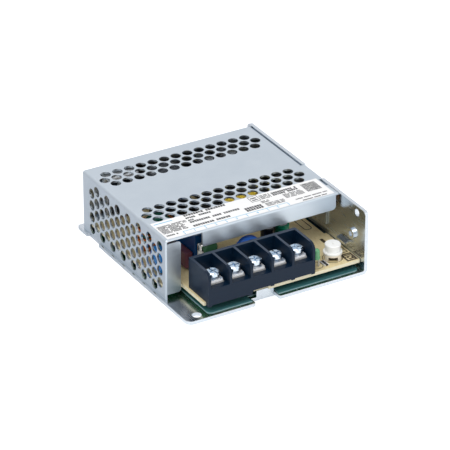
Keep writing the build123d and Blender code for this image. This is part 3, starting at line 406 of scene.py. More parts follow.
clamps_low, clamps_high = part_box("terminal_clamps")
zinc_clamp_with_painted_sides, tree, shader = start_material("zinc_plate_with_painted_white_sides", Roughness=0.24)
rub = add_node(
    tree, "ShaderNodeMapRange", {0: speckle(tree, 1.4 * mm, 3.0), 1: 0.4, 2: 0.6}
)
plated = add_node(
    tree, "ShaderNodeMix", {0: rub, 6: linear("b6c3d2"), 7: linear("ffffff")},
    data_type="RGBA",
)
# Painted highlight: below the top face the clamps are plain white and not metallic, so the sides
# look lit from the front.
two_tone(tree, clamps_high.z - skin, linear("ffffff"), plated, shader.inputs["Base Color"])
pressed_face = past_level(tree, clamps_high.z - skin)
add_node(
    tree, "ShaderNodeMapRange", {0: pressed_face, 3: 0.0, 4: 0.3}, shader.inputs["Metallic"]
)
dress(zinc_clamp_with_painted_sides, "terminal_clamps")
print("clamps are", round((clamps_high.z - clamps_low.z) / mm, 2), "mm thick")

# %% [markdown]
# The contacts are brass under tin, warmer and duller than zinc, wiped along their length. The
# fuse's cap is nickel-plated brass, smooth and faintly yellow.

# %% Contacts and the fuse's cap
contact_names = [f"terminal_contact_{index}" for index in range(1, 6)]
tinned, tree, shader = start_material("tinned_brass", Metallic=0.5)
wipe = speckle(tree, 0.8 * mm, 2.0, (1, 0.2, 1))
add_node(
    tree, "ShaderNodeMix", {0: wipe, 6: linear("dcdad2"), 7: linear("efede8")},
    shader.inputs["Base Color"], data_type="RGBA",
)
add_node(
    tree, "ShaderNodeMapRange", {0: wipe, 1: 0.3, 2: 0.7, 3: 0.25, 4: 0.40},
    shader.inputs["Roughness"],
)
dress(tinned, *contact_names)

nickel, tree, shader = start_material("nickel_plated_cap", Metallic=1.0, Roughness=0.18)
mottle(tree, 1 * mm, "d6d2cb", "e3e0da", shader.inputs["Base Color"])
dress(nickel, "fuse_cap")
print(len(contact_names), "tinned contacts")

# %% [markdown]
# ## Board, film and label
#
# The board is a tan paper laminate. Its sawn edge is paler, and its underside is green solder
# mask over copper tracks, which show as lighter stripes. Height tells the three apart: the
# top face, the edge and the underside lie at different levels of the object's coordinates.

# %% The circuit board
board_low, board_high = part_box("circuit_board")
laminate, tree, shader = start_material("tan_paper_laminate", Roughness=0.42)
fibre = speckle(tree, 0.7 * mm, 4.0, (1, 0.35, 1))
fibre_contrast = add_node(tree, "ShaderNodeMapRange", {0: fibre, 1: 0.3, 2: 0.7})
top_face = add_node(
    tree, "ShaderNodeMix", {0: fibre_contrast, 6: linear("d6c292"), 7: linear("e6d6aa")},
    data_type="RGBA",
)
sawn_edge = add_node(
    tree, "ShaderNodeMix", {0: fibre, 6: linear("dfd4b0"), 7: linear("efe7cc")},
    data_type="RGBA",
)
place = add_node(tree, "ShaderNodeTexCoord", output="Object")
tracks = add_node(
    tree, "ShaderNodeTexVoronoi", {"Vector": place, "Scale": 1 / (4 * mm)},
    output="Distance", distance="MANHATTAN",
)
track_edge = add_node(tree, "ShaderNodeMapRange", {0: tracks, 1: 0.30, 2: 0.34})
solder_mask = add_node(
    tree, "ShaderNodeMix", {0: track_edge, 6: linear("0f5a3c"), 7: linear("2f8a55")},
    data_type="RGBA",
)
edge_or_top = two_tone(tree, board_high.z - skin, sawn_edge, top_face)
two_tone(tree, board_low.z + skin, solder_mask, edge_or_top, shader.inputs["Base Color"])
add_node(
    tree, "ShaderNodeBump", {"Height": fibre, "Distance": 0.01 * mm}, shader.inputs["Normal"]
)
dress(laminate, "circuit_board")
print("the board is", round((board_high.z - board_low.z) / mm, 2), "mm thick")

# %% [markdown]
# The film under the board is dark green polyester sheet. It is glossy and a little wavy, and
# its cut edge catches the light. The label is white vinyl, matt enough not to glare.

# %% The film and the label
film_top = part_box("insulating_film")[1].z
film, tree, shader = start_material("dark_green_polyester_film", Roughness=0.15, IOR=1.6)
sheet_face = mottle(tree, 14 * mm, "3a656b", "47787b")
two_tone(tree, film_top - skin, linear("7d9d9c"), sheet_face, shader.inputs["Base Color"])
pit(tree, shader, 9 * mm, 0.25 * mm)
dress(film, "insulating_film")

label_film, tree, shader = start_material("white_vinyl_label", Roughness=0.38)
mottle(tree, 6 * mm, "ecebea", "f2f1ef", shader.inputs["Base Color"])
pit(tree, shader, 0.4 * mm, 0.004 * mm)
dress(label_film, "label")
print("the film's top is at", round(film_top / mm, 2), "mm")

# %% [markdown]
# ## Terminal block, trimmer and lamp
#
# The block is black thermoplastic with glass fibre in it, moulded in a fine-grained tool, so
# it is satin. The tops of its barriers are painted paler: a painted highlight where the light
# falls on them. It is only a change of colour, so the material lightens the top and no shape
# is added.

# %% The terminal block
block_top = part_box("terminal_block")[1].z
black_moulding, tree, shader = start_material(
    "black_glass_filled_polyester", Roughness=0.36, IOR=1.57, Specular_IOR_Level=0.18
)
# Painted highlight: the barriers' top faces are lighter than the rest of the block.
two_tone(
    tree, block_top - skin, linear("061c30"), linear("333d4c"), shader.inputs["Base Color"]
)
pit(tree, shader, 0.25 * mm, 0.01 * mm)
dress(black_moulding, "terminal_block")
print("the barriers end at", round(block_top / mm, 2), "mm")

# %% [markdown]
# The trimmer's knob is white nylon on a beige base with the dark resistance track inside. The
# track ends at a radius, so the distance from the base's axis tells it from the beige. The
# lamp is green tinted epoxy on its two leads, which start at the lens's foot.

# %% The trimmer and the lamp
white_nylon, tree, shader = start_material("white_nylon", Roughness=0.42, IOR=1.53)
mottle(tree, 2 * mm, "f2f1ec", "fafaf7", shader.inputs["Base Color"])
pit(tree, shader, 0.3 * mm, 0.006 * mm)
dress(white_nylon, "trimmer_rotor")

trimmer_low, trimmer_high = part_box("trimmer_base")
track_radius = 3.3 * mm
beige_moulding, tree, shader = start_material("beige_moulded_plastic", Roughness=0.5)
beige = mottle(tree, 2 * mm, "e2d8c4", "eee5d4")
reach = from_axis(tree, (trimmer_low + trimmer_high) / 2)[1]
outside_track = add_node(
    tree, "ShaderNodeMapRange", {0: reach, 1: track_radius - skin, 2: track_radius + skin}
)
add_node(
    tree, "ShaderNodeMix", {0: outside_track, 6: linear("3d3122"), 7: beige},
    shader.inputs["Base Color"], data_type="RGBA",
)
dress(beige_moulding, "trimmer_base")

lamp_low, lamp_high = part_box("indicator_lamp")
lens_height = 4.8 * mm
green_epoxy, tree, shader = start_material("green_tinted_epoxy", Roughness=0.12, IOR=1.54)
lens = mottle(tree, 2 * mm, "4f9a63", "6fb07c")
two_tone(tree, lamp_high.z - lens_height, linear("b8b4aa"), lens, shader.inputs["Base Color"])
dress(green_epoxy, "indicator_lamp")
print("the lamp is", round((lamp_high.z - lamp_low.z) / mm, 1), "mm high")

# %% [markdown]
# ## The converter's parts
#
# They show through the vents and at the open front. Each family has its own finish: dipped
# epoxy for the discs, moulded cases for the box capacitors, black moulding compound for the
# chips, ferrite for the cores. One function makes them all, because only colours, gloss and
# leads differ. Discs and boxes stand on tinned leads, so below a level of its own each of them
# shows tin instead of its case.

# %% Discs and boxes
board_top = board_high.z


def gloss_case(name, dark, light, roughness, *names, leads_to=None, shine=0.5):
    """A moulded or dipped case over tinned leads that end at a level in metres."""
    material, tree, shader = start_material(
        name, Roughness=roughness, Specular_IOR_Level=shine
    )
    case = mottle(tree, 3 * mm, dark, light)
    if leads_to is None:
        tree.links.new(case, shader.inputs["Base Color"])
    else:
        two_tone(tree, leads_to, linear("c4c2bb"), case, shader.inputs["Base Color"])
        add_node(
            tree, "ShaderNodeMath", {0: 1.0, 1: past_level(tree, leads_to)},
            shader.inputs["Metallic"], operation="SUBTRACT",
        )
    pit(tree, shader, 1.2 * mm, 0.02 * mm, 0.6)
    dress(material, *names)


def disc_foot(name):
    """The level of a round disc's lowest point, from the solid's top and its widest side."""
    low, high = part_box(name)
    return high.z - max(high.x - low.x, high.y - low.y)


gloss_case(
    "navy_moulded_case", "0a3c6c", "0f4a80", 0.2, "x_capacitor", leads_to=board_top + 0.2 * mm
)
gloss_case(
    "maroon_moulded_case", "623341", "703d4b", 0.35,
    "film_capacitor", leads_to=board_top + 1.2 * mm,
)
disc_blues = {
    "varistor": ("0070ba", "0880cc"),
    "safety_capacitor_1": ("0350ae", "0a60c2"),
    "safety_capacitor_2": ("0350ae", "0a60c2"),
}
for disc, disc_blue in disc_blues.items():
    gloss_case(
        "blue_dipped_epoxy_" + disc, *disc_blue, 0.35, disc, leads_to=disc_foot(disc), shine=0.25
    )
gloss_case(
    "green_dipped_epoxy", "2a5238", "33613f", 0.45,
    "inrush_thermistor", leads_to=disc_foot("inrush_thermistor"),
)
print("a disc's body starts", round((disc_foot("varistor") - board_top) / mm, 1), "mm up")

# %% [markdown]
# The rest have one finish all over. The chips' moulding compound is nearly matt, the bare
# ferrite is a dull dark grey, and the ring's coating and the transformer's tape have a soft
# shine.

# %% Chips, cores, fuse and tape
plain_cases = [
    ("white_ceramic", "e9e6dc", "f2f0e8", 0.35, "fuse"),
    (
        "black_moulding_compound", "141a22", "1d242d", 0.5,
        "controller_chip", "optocoupler_1", "optocoupler_2", "bridge_rectifier",
        "switching_transistor", "output_diode",
    ),
    ("grey_ferrite", "26272a", "343538", 0.55, "transformer_core", "output_choke_core"),
    ("green_coated_ring", "124a3c", "1a5a49", 0.4, "choke_core"),
    ("black_phenolic_bobbin", "1a1a1b", "242425", 0.4, "transformer_bobbin"),
    ("yellow_polyester_tape", "d8b62c", "e4c540", 0.22, "transformer_winding"),
]
for plain_case in plain_cases:
    gloss_case(*plain_case)
print(len(plain_cases), "plain cases")

# %% [markdown]
# An electrolytic capacitor is an aluminium can in a shrink sleeve. The sleeve folds a little
# way over the rim and leaves the bare metal of the top open, and the top carries two scored
# lines that cross, where the can opens if it is ever overloaded. The large can of the mains
# side has a dark end. All of this is told apart by the distance from the can's own axis, so
# each can has a material with its own centre. The scored lines come first: they lie where the
# nearer of the two flat axes is within half a line's width.

# %% The scored cross
score_width = 0.22 * mm
score_reach = 0.62


def scored_cross(tree, flat, reach, radius):
    """1 on the two scored lines that cross at the can's axis, 0 beside them."""
    across = [
        add_node(
            tree, "ShaderNodeMath",
            {0: add_node(tree, "ShaderNodeSeparateXYZ", {0: flat}, output=axis)},
            operation="ABSOLUTE",
        )
        for axis in "XY"
    ]
    nearest = add_node(
        tree, "ShaderNodeMath", {0: across[0], 1: across[1]}, operation="MINIMUM"
    )
    on_line = add_node(
        tree, "ShaderNodeMath", {0: nearest, 1: score_width / 2}, operation="LESS_THAN"
    )
    within = add_node(
        tree, "ShaderNodeMath", {0: reach, 1: radius * score_reach}, operation="LESS_THAN"
    )
    return add_node(tree, "ShaderNodeMath", {0: on_line, 1: within}, operation="MULTIPLY")


print("scored lines are", round(score_width / mm, 2), "mm wide")

# %% [markdown]
# The sleeve is black on most cans and green on one. Its colour and gloss hold all over the can,
# except inside the fold on the top, where the bare end shows.

# %% Sleeved cans
sleeve_fold = 0.9 * mm


def sleeved_can(node, dark, light, end="b4b8bc"):
    """The sleeve, the end of the can and its scored cross, for one can."""
    low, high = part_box(node)
    radius = (high.x - low.x) / 2
    material, tree, shader = start_material("shrink_sleeve_" + node)
    flat, reach = from_axis(tree, (low + high) / 2)
    in_fold = add_node(
        tree, "ShaderNodeMath", {0: reach, 1: radius - sleeve_fold}, operation="LESS_THAN"
    )
    bare = add_node(
        tree, "ShaderNodeMath", {0: in_fold, 1: past_level(tree, high.z - skin)},
        shader.inputs["Metallic"], operation="MULTIPLY",
    )
    top = add_node(
        tree, "ShaderNodeMix",
        {0: scored_cross(tree, flat, reach, radius), 6: linear(end), 7: linear("5d6165")},
        data_type="RGBA",
    )
    add_node(
        tree, "ShaderNodeMix", {0: bare, 6: mottle(tree, 3 * mm, dark, light), 7: top},
        shader.inputs["Base Color"], data_type="RGBA",
    )
    add_node(
        tree, "ShaderNodeMapRange", {0: bare, 3: 0.25, 4: 0.42}, shader.inputs["Roughness"]
    )
    dress(material, node)


black_cans = (
    "output_capacitor_1", "output_capacitor_3", "output_capacitor_4",
    "output_capacitor_5", "auxiliary_capacitor",
)
for can in black_cans:
    sleeved_can(can, "10151d", "18202b")
sleeved_can("bulk_capacitor", "10151d", "18202b", end="30343a")
sleeved_can("output_capacitor_2", "0f7257", "168466")
print(len(black_cans) + 2, "sleeved cans")

# %% [markdown]
# ## New pieces: how each one is made
#
# The solids stay as they are, and what is too fine for them is modelled here. A new piece
# starts from a primitive of Blender's at its real size and place. The operators act on all
# that is selected, so each helper first selects its own object alone. Faces are picked by their
# place or direction after everything else is deselected.

# %% Selecting and editing
bpy.context.tool_settings.mesh_select_mode = (False, False, True)


def select_only(piece):
    """Select this object alone and make it the active one."""
    bpy.ops.object.select_all(action="DESELECT")
    piece.select_set(True)
    bpy.context.view_layer.objects.active = piece


def edit_all(piece, *steps):
    """Run edit-mode steps on the whole piece, one after another."""
    select_only(piece)
    bpy.ops.object.mode_set(mode="EDIT")
    bpy.ops.mesh.select_all(action="SELECT")
    for step in steps:
        step()
    bpy.ops.object.mode_set(mode="OBJECT")


def edit_faces(piece, wanted, *steps):
    """Run edit-mode steps on only those faces for which wanted(face) is true."""
    edit_all(piece, lambda: bpy.ops.mesh.select_all(action="DESELECT"))
    for face in piece.data.polygons:
        face.select = wanted(face)
    bpy.ops.object.mode_set(mode="EDIT")
    for step in steps:
        step()
    bpy.ops.object.mode_set(mode="OBJECT")


def apply_modifier(piece, kind, **settings):
    """Add a modifier with its settings and apply it."""
    select_only(piece)
    modifier = piece.modifiers.new(kind.lower(), kind)
    for name, value in settings.items():
        setattr(modifier, name, value)
    bpy.ops.object.modifier_apply(modifier=modifier.name)


print("picking by face:", bpy.context.tool_settings.mesh_select_mode[2])

# %% [markdown]
# A finished piece has its place in its mesh and its object at the origin, as the solids have.
# What repeats is modelled once and copied, each copy with a mesh of its own, and the copies
# are joined into one piece. The piece then gets its material, rides on the supply's body, and
# may stand for plain solids, which are hidden.

# %% Settling, copying, joining and finishing


def settle(name):
    """Name the object just added, and move its place and size into its mesh."""
    piece = bpy.context.active_object
    piece.name = name
    piece.data.name = name
    select_only(piece)
    bpy.ops.object.transform_apply(location=True, rotation=True, scale=True)
    return piece


def copy_of(piece, name, placing):
    """A copy with a mesh of its own, moved or turned by a matrix."""
    made = piece.copy()
    made.data = piece.data.copy()
    made.name = name
    made.data.name = name
    bpy.context.scene.collection.objects.link(made)
    made.data.transform(placing)
    return made


def joined(name, parts):
    """Join several objects into one with this name."""
    select_only(parts[0])
    for part in parts[1:]:
        part.select_set(True)
    bpy.ops.object.join()
    parts[0].name = name
    parts[0].data.name = name
    return parts[0]


def finish_piece(piece, material, slot, *stands_for):
    """Dress a new piece, let it ride, and hide the solids that it stands for."""
    piece.data.materials.clear()
    piece.data.materials.append(material)
    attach(piece, "supply")
    if stands_for:
        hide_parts(*stands_for)
    print(piece.name, "has", len(piece.data.polygons), "faces")


# %% [markdown]
# ## The label's print
#
# Ink on a label is a very thin layer. Each line of print is a fine grid of cells lying just
# above the label: four columns of cells make a letter and the fifth is the gap after it. Some
# cells are taken away, by a fixed random order, so a line has the uneven texture of small
# print, and the letter where a word ends goes too. It spells nothing. A picture laid on the
# label could show the same, but real cells stay sharp from near and are part of the model.

# %% A line of small print
ink_gap = 0.012 * mm
ink_thickness = 0.010 * mm
letter_columns = 5
letter_rows = 3
letter_spacing = 0.78
label_low, label_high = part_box("label")
chance = random.Random(7)


def place_on_label(across, along):
    """A point just above the label: mm from its left edge and from its front edge."""
    return (label_low.x + across * mm, label_low.y + along * mm, label_high.z + ink_gap)


def print_line(left, low, length, letter_height, missing=0.06, word=8):
    """A line of print in mm: corner, size, share of missing cells, letters in a word."""
    letters = max(2, round(length / (letter_spacing * letter_height)))
    columns = letters * letter_columns
    middle = place_on_label(left + length / 2, low + letter_height / 2)
    bpy.ops.mesh.primitive_grid_add(
        x_subdivisions=columns, y_subdivisions=letter_rows, size=1, location=middle
    )
    bpy.context.active_object.scale = (length * mm, letter_height * mm, 1)
    line = settle("print_line")
    word_ends = set()
    reached = 0
    while reached < letters:
        reached += chance.randint(word // 2, word)
        word_ends.add(reached)
        reached += 1
    start = label_low.x + left * mm

    def bare(face):
        """True where a cell has no ink."""
        column = int((face.center.x - start) / (length * mm) * columns)
        letter, place_in_letter = divmod(column, letter_columns)
        gap = place_in_letter == letter_columns - 1 or letter in word_ends
        return gap or chance.random() < missing

    edit_faces(line, bare, lambda: bpy.ops.mesh.delete(type="FACE"))
    return line


print("the label is", [round(c / mm, 1) for c in (label_high - label_low)[:2]], "mm")

# %% [markdown]
# The left half of the label has seven fine lines at its edge and larger lines beside them.

# %% The left half's lines
fine_lines = [
    print_line(0.8, 4.3 + 1.0 * row, 11.8 - 0.5 * (row % 3), 0.78, 0.1, 11) for row in range(7)
]
bold_lines = [
    print_line(15.6, 13.5, 20.4, 1.5, 0.03, 12),
    print_line(15.4, 11.3, 4.6, 1.3, 0.03),
    print_line(21.8, 11.3, 5.8, 1.3, 0.03),
    print_line(15.4, 9.3, 2.8, 1.1, 0.05),
    print_line(15.3, 7.4, 24.1, 1.4, 0.03, 9),
    print_line(15.0, 3.9, 18.0, 1.4, 0.03, 9),
]
print("print lines:", len(fine_lines) + len(bold_lines))

# %% [markdown]
# Frames and bars are flat sheets of ink. A frame is a plane that is inset by the line's width
# and loses its middle, and a bar is a plane with slightly softened corners.

# %% Frames and bars of ink


def flat_sheet(name, left, low, right, high, place):
    """A plane between two corners in mm, laid by a function that finds its place."""
    corner = Vector(place(left, low))
    opposite = Vector(place(right, high))
    bpy.ops.mesh.primitive_plane_add(size=1, location=(corner + opposite) / 2)
    bpy.context.active_object.scale = (opposite.x - corner.x, opposite.y - corner.y, 1)
    return settle(name)


def hollow(sheet, line):
    """Leave only a line in mm round the edge of a flat sheet."""
    edit_all(
        sheet,
        lambda: bpy.ops.mesh.inset(thickness=line * mm, depth=0),
        lambda: bpy.ops.mesh.delete(type="FACE"),
    )
    return sheet


def print_frame(left, low, right, high, line, place=place_on_label):
    """A rectangle's outline in ink."""
    return hollow(flat_sheet("print_frame", left, low, right, high, place), line)


def print_bar(left, low, right, high, place=place_on_label):
    """A filled bar of ink with slightly soft corners."""
    bar = flat_sheet("print_bar", left, low, right, high, place)
    softness = 0.2 * min(right - left, high - low) * mm
    edit_all(
        bar, lambda: bpy.ops.mesh.bevel(offset=softness, segments=2, affect="VERTICES")
    )
    return bar


print("ink is", round(ink_thickness / mm, 3), "mm thick")

# %% [markdown]
# The right half of the label holds a framed field, blocks of small print, a square of random
# cells, and a long fine line. They are plain print too, and stand for nothing. A Solidify
# modifier gives all the ink its thickness.

# %% Fields and blocks of print
field = joined("print_field", [
    print_line(47.7, 10.9, 2.8, 1.0), print_line(47.7, 12.6, 2.8, 1.0),
    print_frame(46.9, 10.0, 51.4, 14.9, 0.28),
])
side_blocks = [
    print_line(52.0, 10.4 + 0.95 * row, 5.0, 0.6) for row in range(4)
] + [
    print_line(57.9, 10.7 + 1.6 * row, 12.4, 1.35, 0.02, 12) for row in range(2)
] + [
    print_line(41.0, 3.9 + 1.75 * row, 8.4, 1.5, 0.02, 12) for row in range(2)
] + [
    print_line(50.3, 7.4 + 1.0 * row, 3.8, 0.65) for row in range(2)
] + [
    print_line(51.0, 3.9 + 1.0 * row, 9.2, 0.65) for row in range(3)
] + [
    print_line(61.6, 6.2 + 1.0 * row, 9.4, 0.65) for row in range(4)
]
cell_square = joined("print_cells", [
    print_line(72.6, 6.4 + 0.6 * row, 7.1, 0.6, 0.28, 40) for row in range(12)
])
long_line = print_line(64.3, 2.7, 15.8, 0.75)
small_marks = print_line(66.6, 0.5, 12.0, 0.8)
id_bar = print_line(0.9, 1.9, 5.6, 1.0, 0.05)
small_square = joined("print_small_square", [
    print_line(12.7, 9.2 + 0.6 * row, 1.9, 0.6, 0.3, 40) for row in range(3)
])
black_print = joined(
    "label_print_black",
    [field, cell_square, small_square, long_line, small_marks, id_bar]
    + fine_lines + bold_lines + side_blocks,
)
apply_modifier(black_print, "SOLIDIFY", thickness=ink_thickness, offset=1)

black_ink, tree, shader = start_material("black_label_ink", Roughness=0.5)
mottle(tree, 0.3 * mm, "15161a", "2b2c31", shader.inputs["Base Color"])
finish_piece(black_print, black_ink, "label_film")

# %% [markdown]
# Along the label's front edge a cyan row of cells numbers the terminals, with one plain figure
# for each. The cells have the pitch of the terminals, so it is measured on the contacts. A
# figure is a text object, which is made a mesh before its place is applied.

# %% The cyan row of terminal numbers
contact_centres = [sum(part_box(name), Vector()) / 2 for name in contact_names]
terminals = len(contact_centres)
pitch = (contact_centres[-1].x - contact_centres[0].x) / (terminals - 1) / mm
first_tick = 8.7
tick_foot = 0.15
row_height = 2.5
tick_width = 0.24
figure_foot = 0.6
figure_size = 2.1 * mm
figure_share = 0.45
row_end = first_tick + terminals * pitch
cyan_parts = [print_bar(first_tick, row_height, row_end, row_height + tick_width)]
for index in range(terminals + 1):
    tick = first_tick + index * pitch
    cyan_parts.append(print_bar(tick, tick_foot, tick + tick_width, row_height))
for index in range(terminals):
    spot = place_on_label(first_tick + (index + figure_share) * pitch, figure_foot)
    bpy.ops.object.text_add(location=spot)
    figure = bpy.context.active_object
    figure.data.body = str(index + 1)
    figure.data.size = figure_size
    bpy.ops.object.convert(target="MESH")
    cyan_parts.append(settle("terminal_number"))
cyan_parts.append(print_bar(0.9, 13.3, 9.8, 13.7))
print("the terminals' pitch is", round(pitch, 2), "mm")
cyan_print = joined("label_print_cyan", cyan_parts)
apply_modifier(cyan_print, "SOLIDIFY", thickness=ink_thickness, offset=1)

cyan_ink, tree, shader = start_material("cyan_label_ink", Roughness=0.5)
mottle(tree, 0.3 * mm, "10a4d2", "2fb4dc", shader.inputs["Base Color"])
finish_piece(cyan_print, cyan_ink, "label_film")

# %% [markdown]
# ## The board's print
#
# Screen print in dark brown shows where each part goes. Its places are in mm of the frame's
# own X and Y. A ring is a filled circle without its middle, and an outline with round ends is
# a plane whose corners are bevelled before it is hollowed.

# %% Rings and round outlines
ring_sides = 48


def place_on_board(across, along):
    """A point just above the board: mm in the frame's own X and Y."""
    return (across * mm, along * mm, board_top + ink_gap)


def print_ring(across, along, radius, line):
    """A flat ring in ink."""
    bpy.ops.mesh.primitive_circle_add(
        vertices=ring_sides, radius=radius * mm, fill_type="NGON",
        location=place_on_board(across, along),
    )
    return hollow(settle("print_ring"), line)


def round_outline(left, low, right, high, line):
    """An outline in ink with round ends."""
    outline = flat_sheet("print_outline", left, low, right, high, place_on_board)
    end_round = 0.45 * (right - left) * mm
    edit_all(
        outline, lambda: bpy.ops.mesh.bevel(offset=end_round, segments=8, affect="VERTICES")
    )
    return hollow(outline, line)


print("the board's print lies", round((board_top + ink_gap) / mm, 3), "mm up")

# %% [markdown]
# There are circles round the trimmer and the lamp, a framed field in the front corner with
# strokes in it, two small framed pads behind it, and a long outline with round ends.

# %% Board print
trimmer_centre = (trimmer_low + trimmer_high) / 2 / mm
lamp_centre = (lamp_low + lamp_high) / 2 / mm
corner_field = [
    print_frame(36.5, -45.2, 41.7, -38.7, 0.95, place_on_board),
    print_bar(37.4, -40.6, 40.8, -39.9, place_on_board),
    print_bar(37.4, -41.9, 39.6, -41.3, place_on_board),
    print_bar(38.4, -43.9, 40.8, -43.2, place_on_board),
    print_ring(39.4, -42.3, 1.35, 0.6),
]
pads = [
    print_frame(37.9, -37.9, 41.2, -35.3, 0.45, place_on_board),
    print_frame(37.9, -35.0, 41.2, -32.6, 0.45, place_on_board),
]
board_print = joined("board_print", corner_field + pads + [
    print_ring(trimmer_centre.x, trimmer_centre.y, 4.5, 0.3),
    print_ring(lamp_centre.x, lamp_centre.y, 3.1, 0.35),
    round_outline(35.3, -12.8, 39.2, -2.0, 0.42),
    print_bar(36.2, -26.3, 37.8, -22.5, place_on_board),
])
apply_modifier(board_print, "SOLIDIFY", thickness=ink_thickness, offset=1)

brown_ink, tree, shader = start_material("dark_screen_print", Roughness=0.5)
mottle(tree, 0.5 * mm, "2e2619", "4a3d2a", shader.inputs["Base Color"])
finish_piece(board_print, brown_ink, "board")

# %% [markdown]
# ## Chip resistors by the lamp
#
# A chip resistor is a small ceramic block with a dark glaze on top and tinned ends. A cube at
# its real size is cut into a middle and two ends, the ends' tops are extruded a little as the
# tin stands proud, the edges are bevelled, and the block is copied along the row.

# %% The row of chip resistors
chip_size = Vector((2.0, 1.25, 0.5)) * mm
chip_count = 3
chip_pitch = 1.6 * mm
chip_row = Vector((lamp_centre.x + 3.9, lamp_centre.y - 1.9, 0)) * mm
end_reach = 0.62 * mm
tin_height = 0.05 * mm
bpy.ops.mesh.primitive_cube_add(
    size=1, location=(chip_row.x, chip_row.y, board_top + ink_gap + chip_size.z / 2)
)
bpy.context.active_object.scale = chip_size
first_chip = settle("chip_resistor")
for cut in (-end_reach, end_reach):
    edit_all(first_chip, lambda: bpy.ops.mesh.bisect(
        plane_co=(chip_row.x + cut, 0, 0), plane_no=(1, 0, 0), threshold=0.001 * mm
    ))
edit_faces(
    first_chip,
    lambda face: abs(face.center.x - chip_row.x) > end_reach and face.normal.z > 0.5,
    lambda: bpy.ops.mesh.extrude_region_move(
        TRANSFORM_OT_translate={"value": (0, 0, tin_height)}
    ),
)
apply_modifier(first_chip, "BEVEL", width=0.02 * mm, segments=1)
chips = [
    copy_of(first_chip, "chip", Matrix.Translation((0, index * chip_pitch, 0)))
    for index in range(chip_count)
]
bpy.data.objects.remove(first_chip, do_unlink=True)
chip_resistors = joined("chip_resistors", chips)
print(chip_count, "chips of", [round(c / mm, 2) for c in chip_size], "mm")

# %% [markdown]
# The glaze is black glass and the ends are bright tin, which is what the eye finds first. The
# material tells the ends from the middle by their place on X, so one material does for both.

# %% Glaze and tinned ends
chip_glaze, tree, shader = start_material("glazed_chip_with_tinned_ends", Roughness=0.3)
past_right = past_level(tree, chip_row.x + end_reach, "X")
past_left = past_level(tree, chip_row.x - end_reach, "X")
in_middle = add_node(
    tree, "ShaderNodeMath", {0: past_left, 1: past_right}, operation="SUBTRACT"
)
glaze = mottle(tree, 0.5 * mm, "141416", "232427")
add_node(
    tree, "ShaderNodeMix", {0: in_middle, 6: linear("dcdde0"), 7: glaze},
    shader.inputs["Base Color"], data_type="RGBA",
)
finish_piece(chip_resistors, chip_glaze, "chip_black")

# %% [markdown]
# ## Wire turns
#
# A ring choke is wound with thick enamelled wire. A plain sleeve could stand for the winding,
# but each round turn catches its own line of light. One turn is a rounded rectangle round the
# ring's section: a plane with bevelled corners, reduced to its outline, turned into a curve
# with the wire's thickness, and made a mesh again.

# %% One turn of the ring choke
ring_low, ring_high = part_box("choke_core")
ring_centre = (ring_low + ring_high) / 2
ring_outer = (ring_high.x - ring_low.x) / 2
ring_inner = 4.6 * mm
choke_wire = 1.1 * mm
winding_arc = math.radians(120)
turn_depth = ring_outer - ring_inner + choke_wire
turn_width = ring_high.y - ring_low.y + choke_wire
turn_count = int((ring_inner - choke_wire / 2) * winding_arc / choke_wire)

bpy.ops.mesh.primitive_plane_add(
    size=1, location=ring_centre + Vector(((ring_outer + ring_inner) / 2, 0, 0))
)
bpy.context.active_object.scale = (turn_depth, turn_width, 1)
first_turn = settle("choke_turn")
edit_all(
    first_turn,
    lambda: bpy.ops.mesh.bevel(offset=choke_wire * 0.7, segments=4, affect="VERTICES"),
    lambda: bpy.ops.mesh.delete(type="ONLY_FACE"),
)
bpy.ops.object.convert(target="CURVE")
first_turn = bpy.context.active_object
first_turn.data.bevel_depth = choke_wire / 2
first_turn.data.bevel_resolution = 2
bpy.ops.object.convert(target="MESH")
first_turn = bpy.context.active_object
print(turn_count, "turns fit side by side in the ring's hole")

# %% [markdown]
# The turn is modelled once and copied round the ring's axis, as many times on each side as fit
# in the hole. Each winding ends in two straight leads that drop to the board.

# %% The ring choke's windings
lead_sides = 12
lead_rounding = 0.15 * mm


def turned_about_ring(angle):
    """A turn about the ring's own axis, which lies along Y."""
    to_centre = Matrix.Translation(ring_centre)
    return to_centre @ Matrix.Rotation(angle, 4, "Y") @ to_centre.inverted()


def choke_lead(side, end):
    """A wire end that drops from the winding to the board."""
    top = ring_centre.z - ring_inner - choke_wire
    bpy.ops.mesh.primitive_cylinder_add(
        vertices=lead_sides, radius=choke_wire / 2, depth=top - board_top,
        location=(
            ring_centre.x + side * ring_inner,
            ring_centre.y + end * turn_width / 2,
            (top + board_top) / 2,
        ),
    )
    lead = settle("choke_lead")
    edit_all(lead, lambda: bpy.ops.mesh.bevel(offset=lead_rounding, segments=2))
    return lead


def ring_winding(side, name):
    """Turns of wire on one side of the ring, and their two ends."""
    middle = 0 if side > 0 else math.pi
    angles = [
        middle + (index / (turn_count - 1) - 0.5) * (winding_arc - choke_wire / ring_inner)
        for index in range(turn_count)
    ]
    turns = [copy_of(first_turn, "turn", turned_about_ring(angle)) for angle in angles]
    ends = [choke_lead(side, end) for end in (-1, 1)]
    return joined(name, turns + ends)


left_turns = ring_winding(-1, "choke_turns_left")
right_turns = ring_winding(1, "choke_turns_right")
bpy.data.objects.remove(first_turn, do_unlink=True)

enamel, tree, shader = start_material("enamelled_copper_wire", Metallic=0.85, Roughness=0.25)
mottle(tree, 2 * mm, "b5602a", "cf7c40", shader.inputs["Base Color"])
finish_piece(left_turns, enamel, "copper_wire", "choke_winding_left")
finish_piece(right_turns, enamel, "copper_wire", "choke_winding_right")

# %% [markdown]
# The output choke is a drum wound in one layer, and a screw has a helical thread. Separate
# rings would be simpler, but both rise as they go round, so both are a helix: a small circle
# beside the world's axis, which a Screw modifier sweeps round and up. The ends stay open, so
# the holes are filled, and the result is moved to its place.

# %% The drum choke's winding


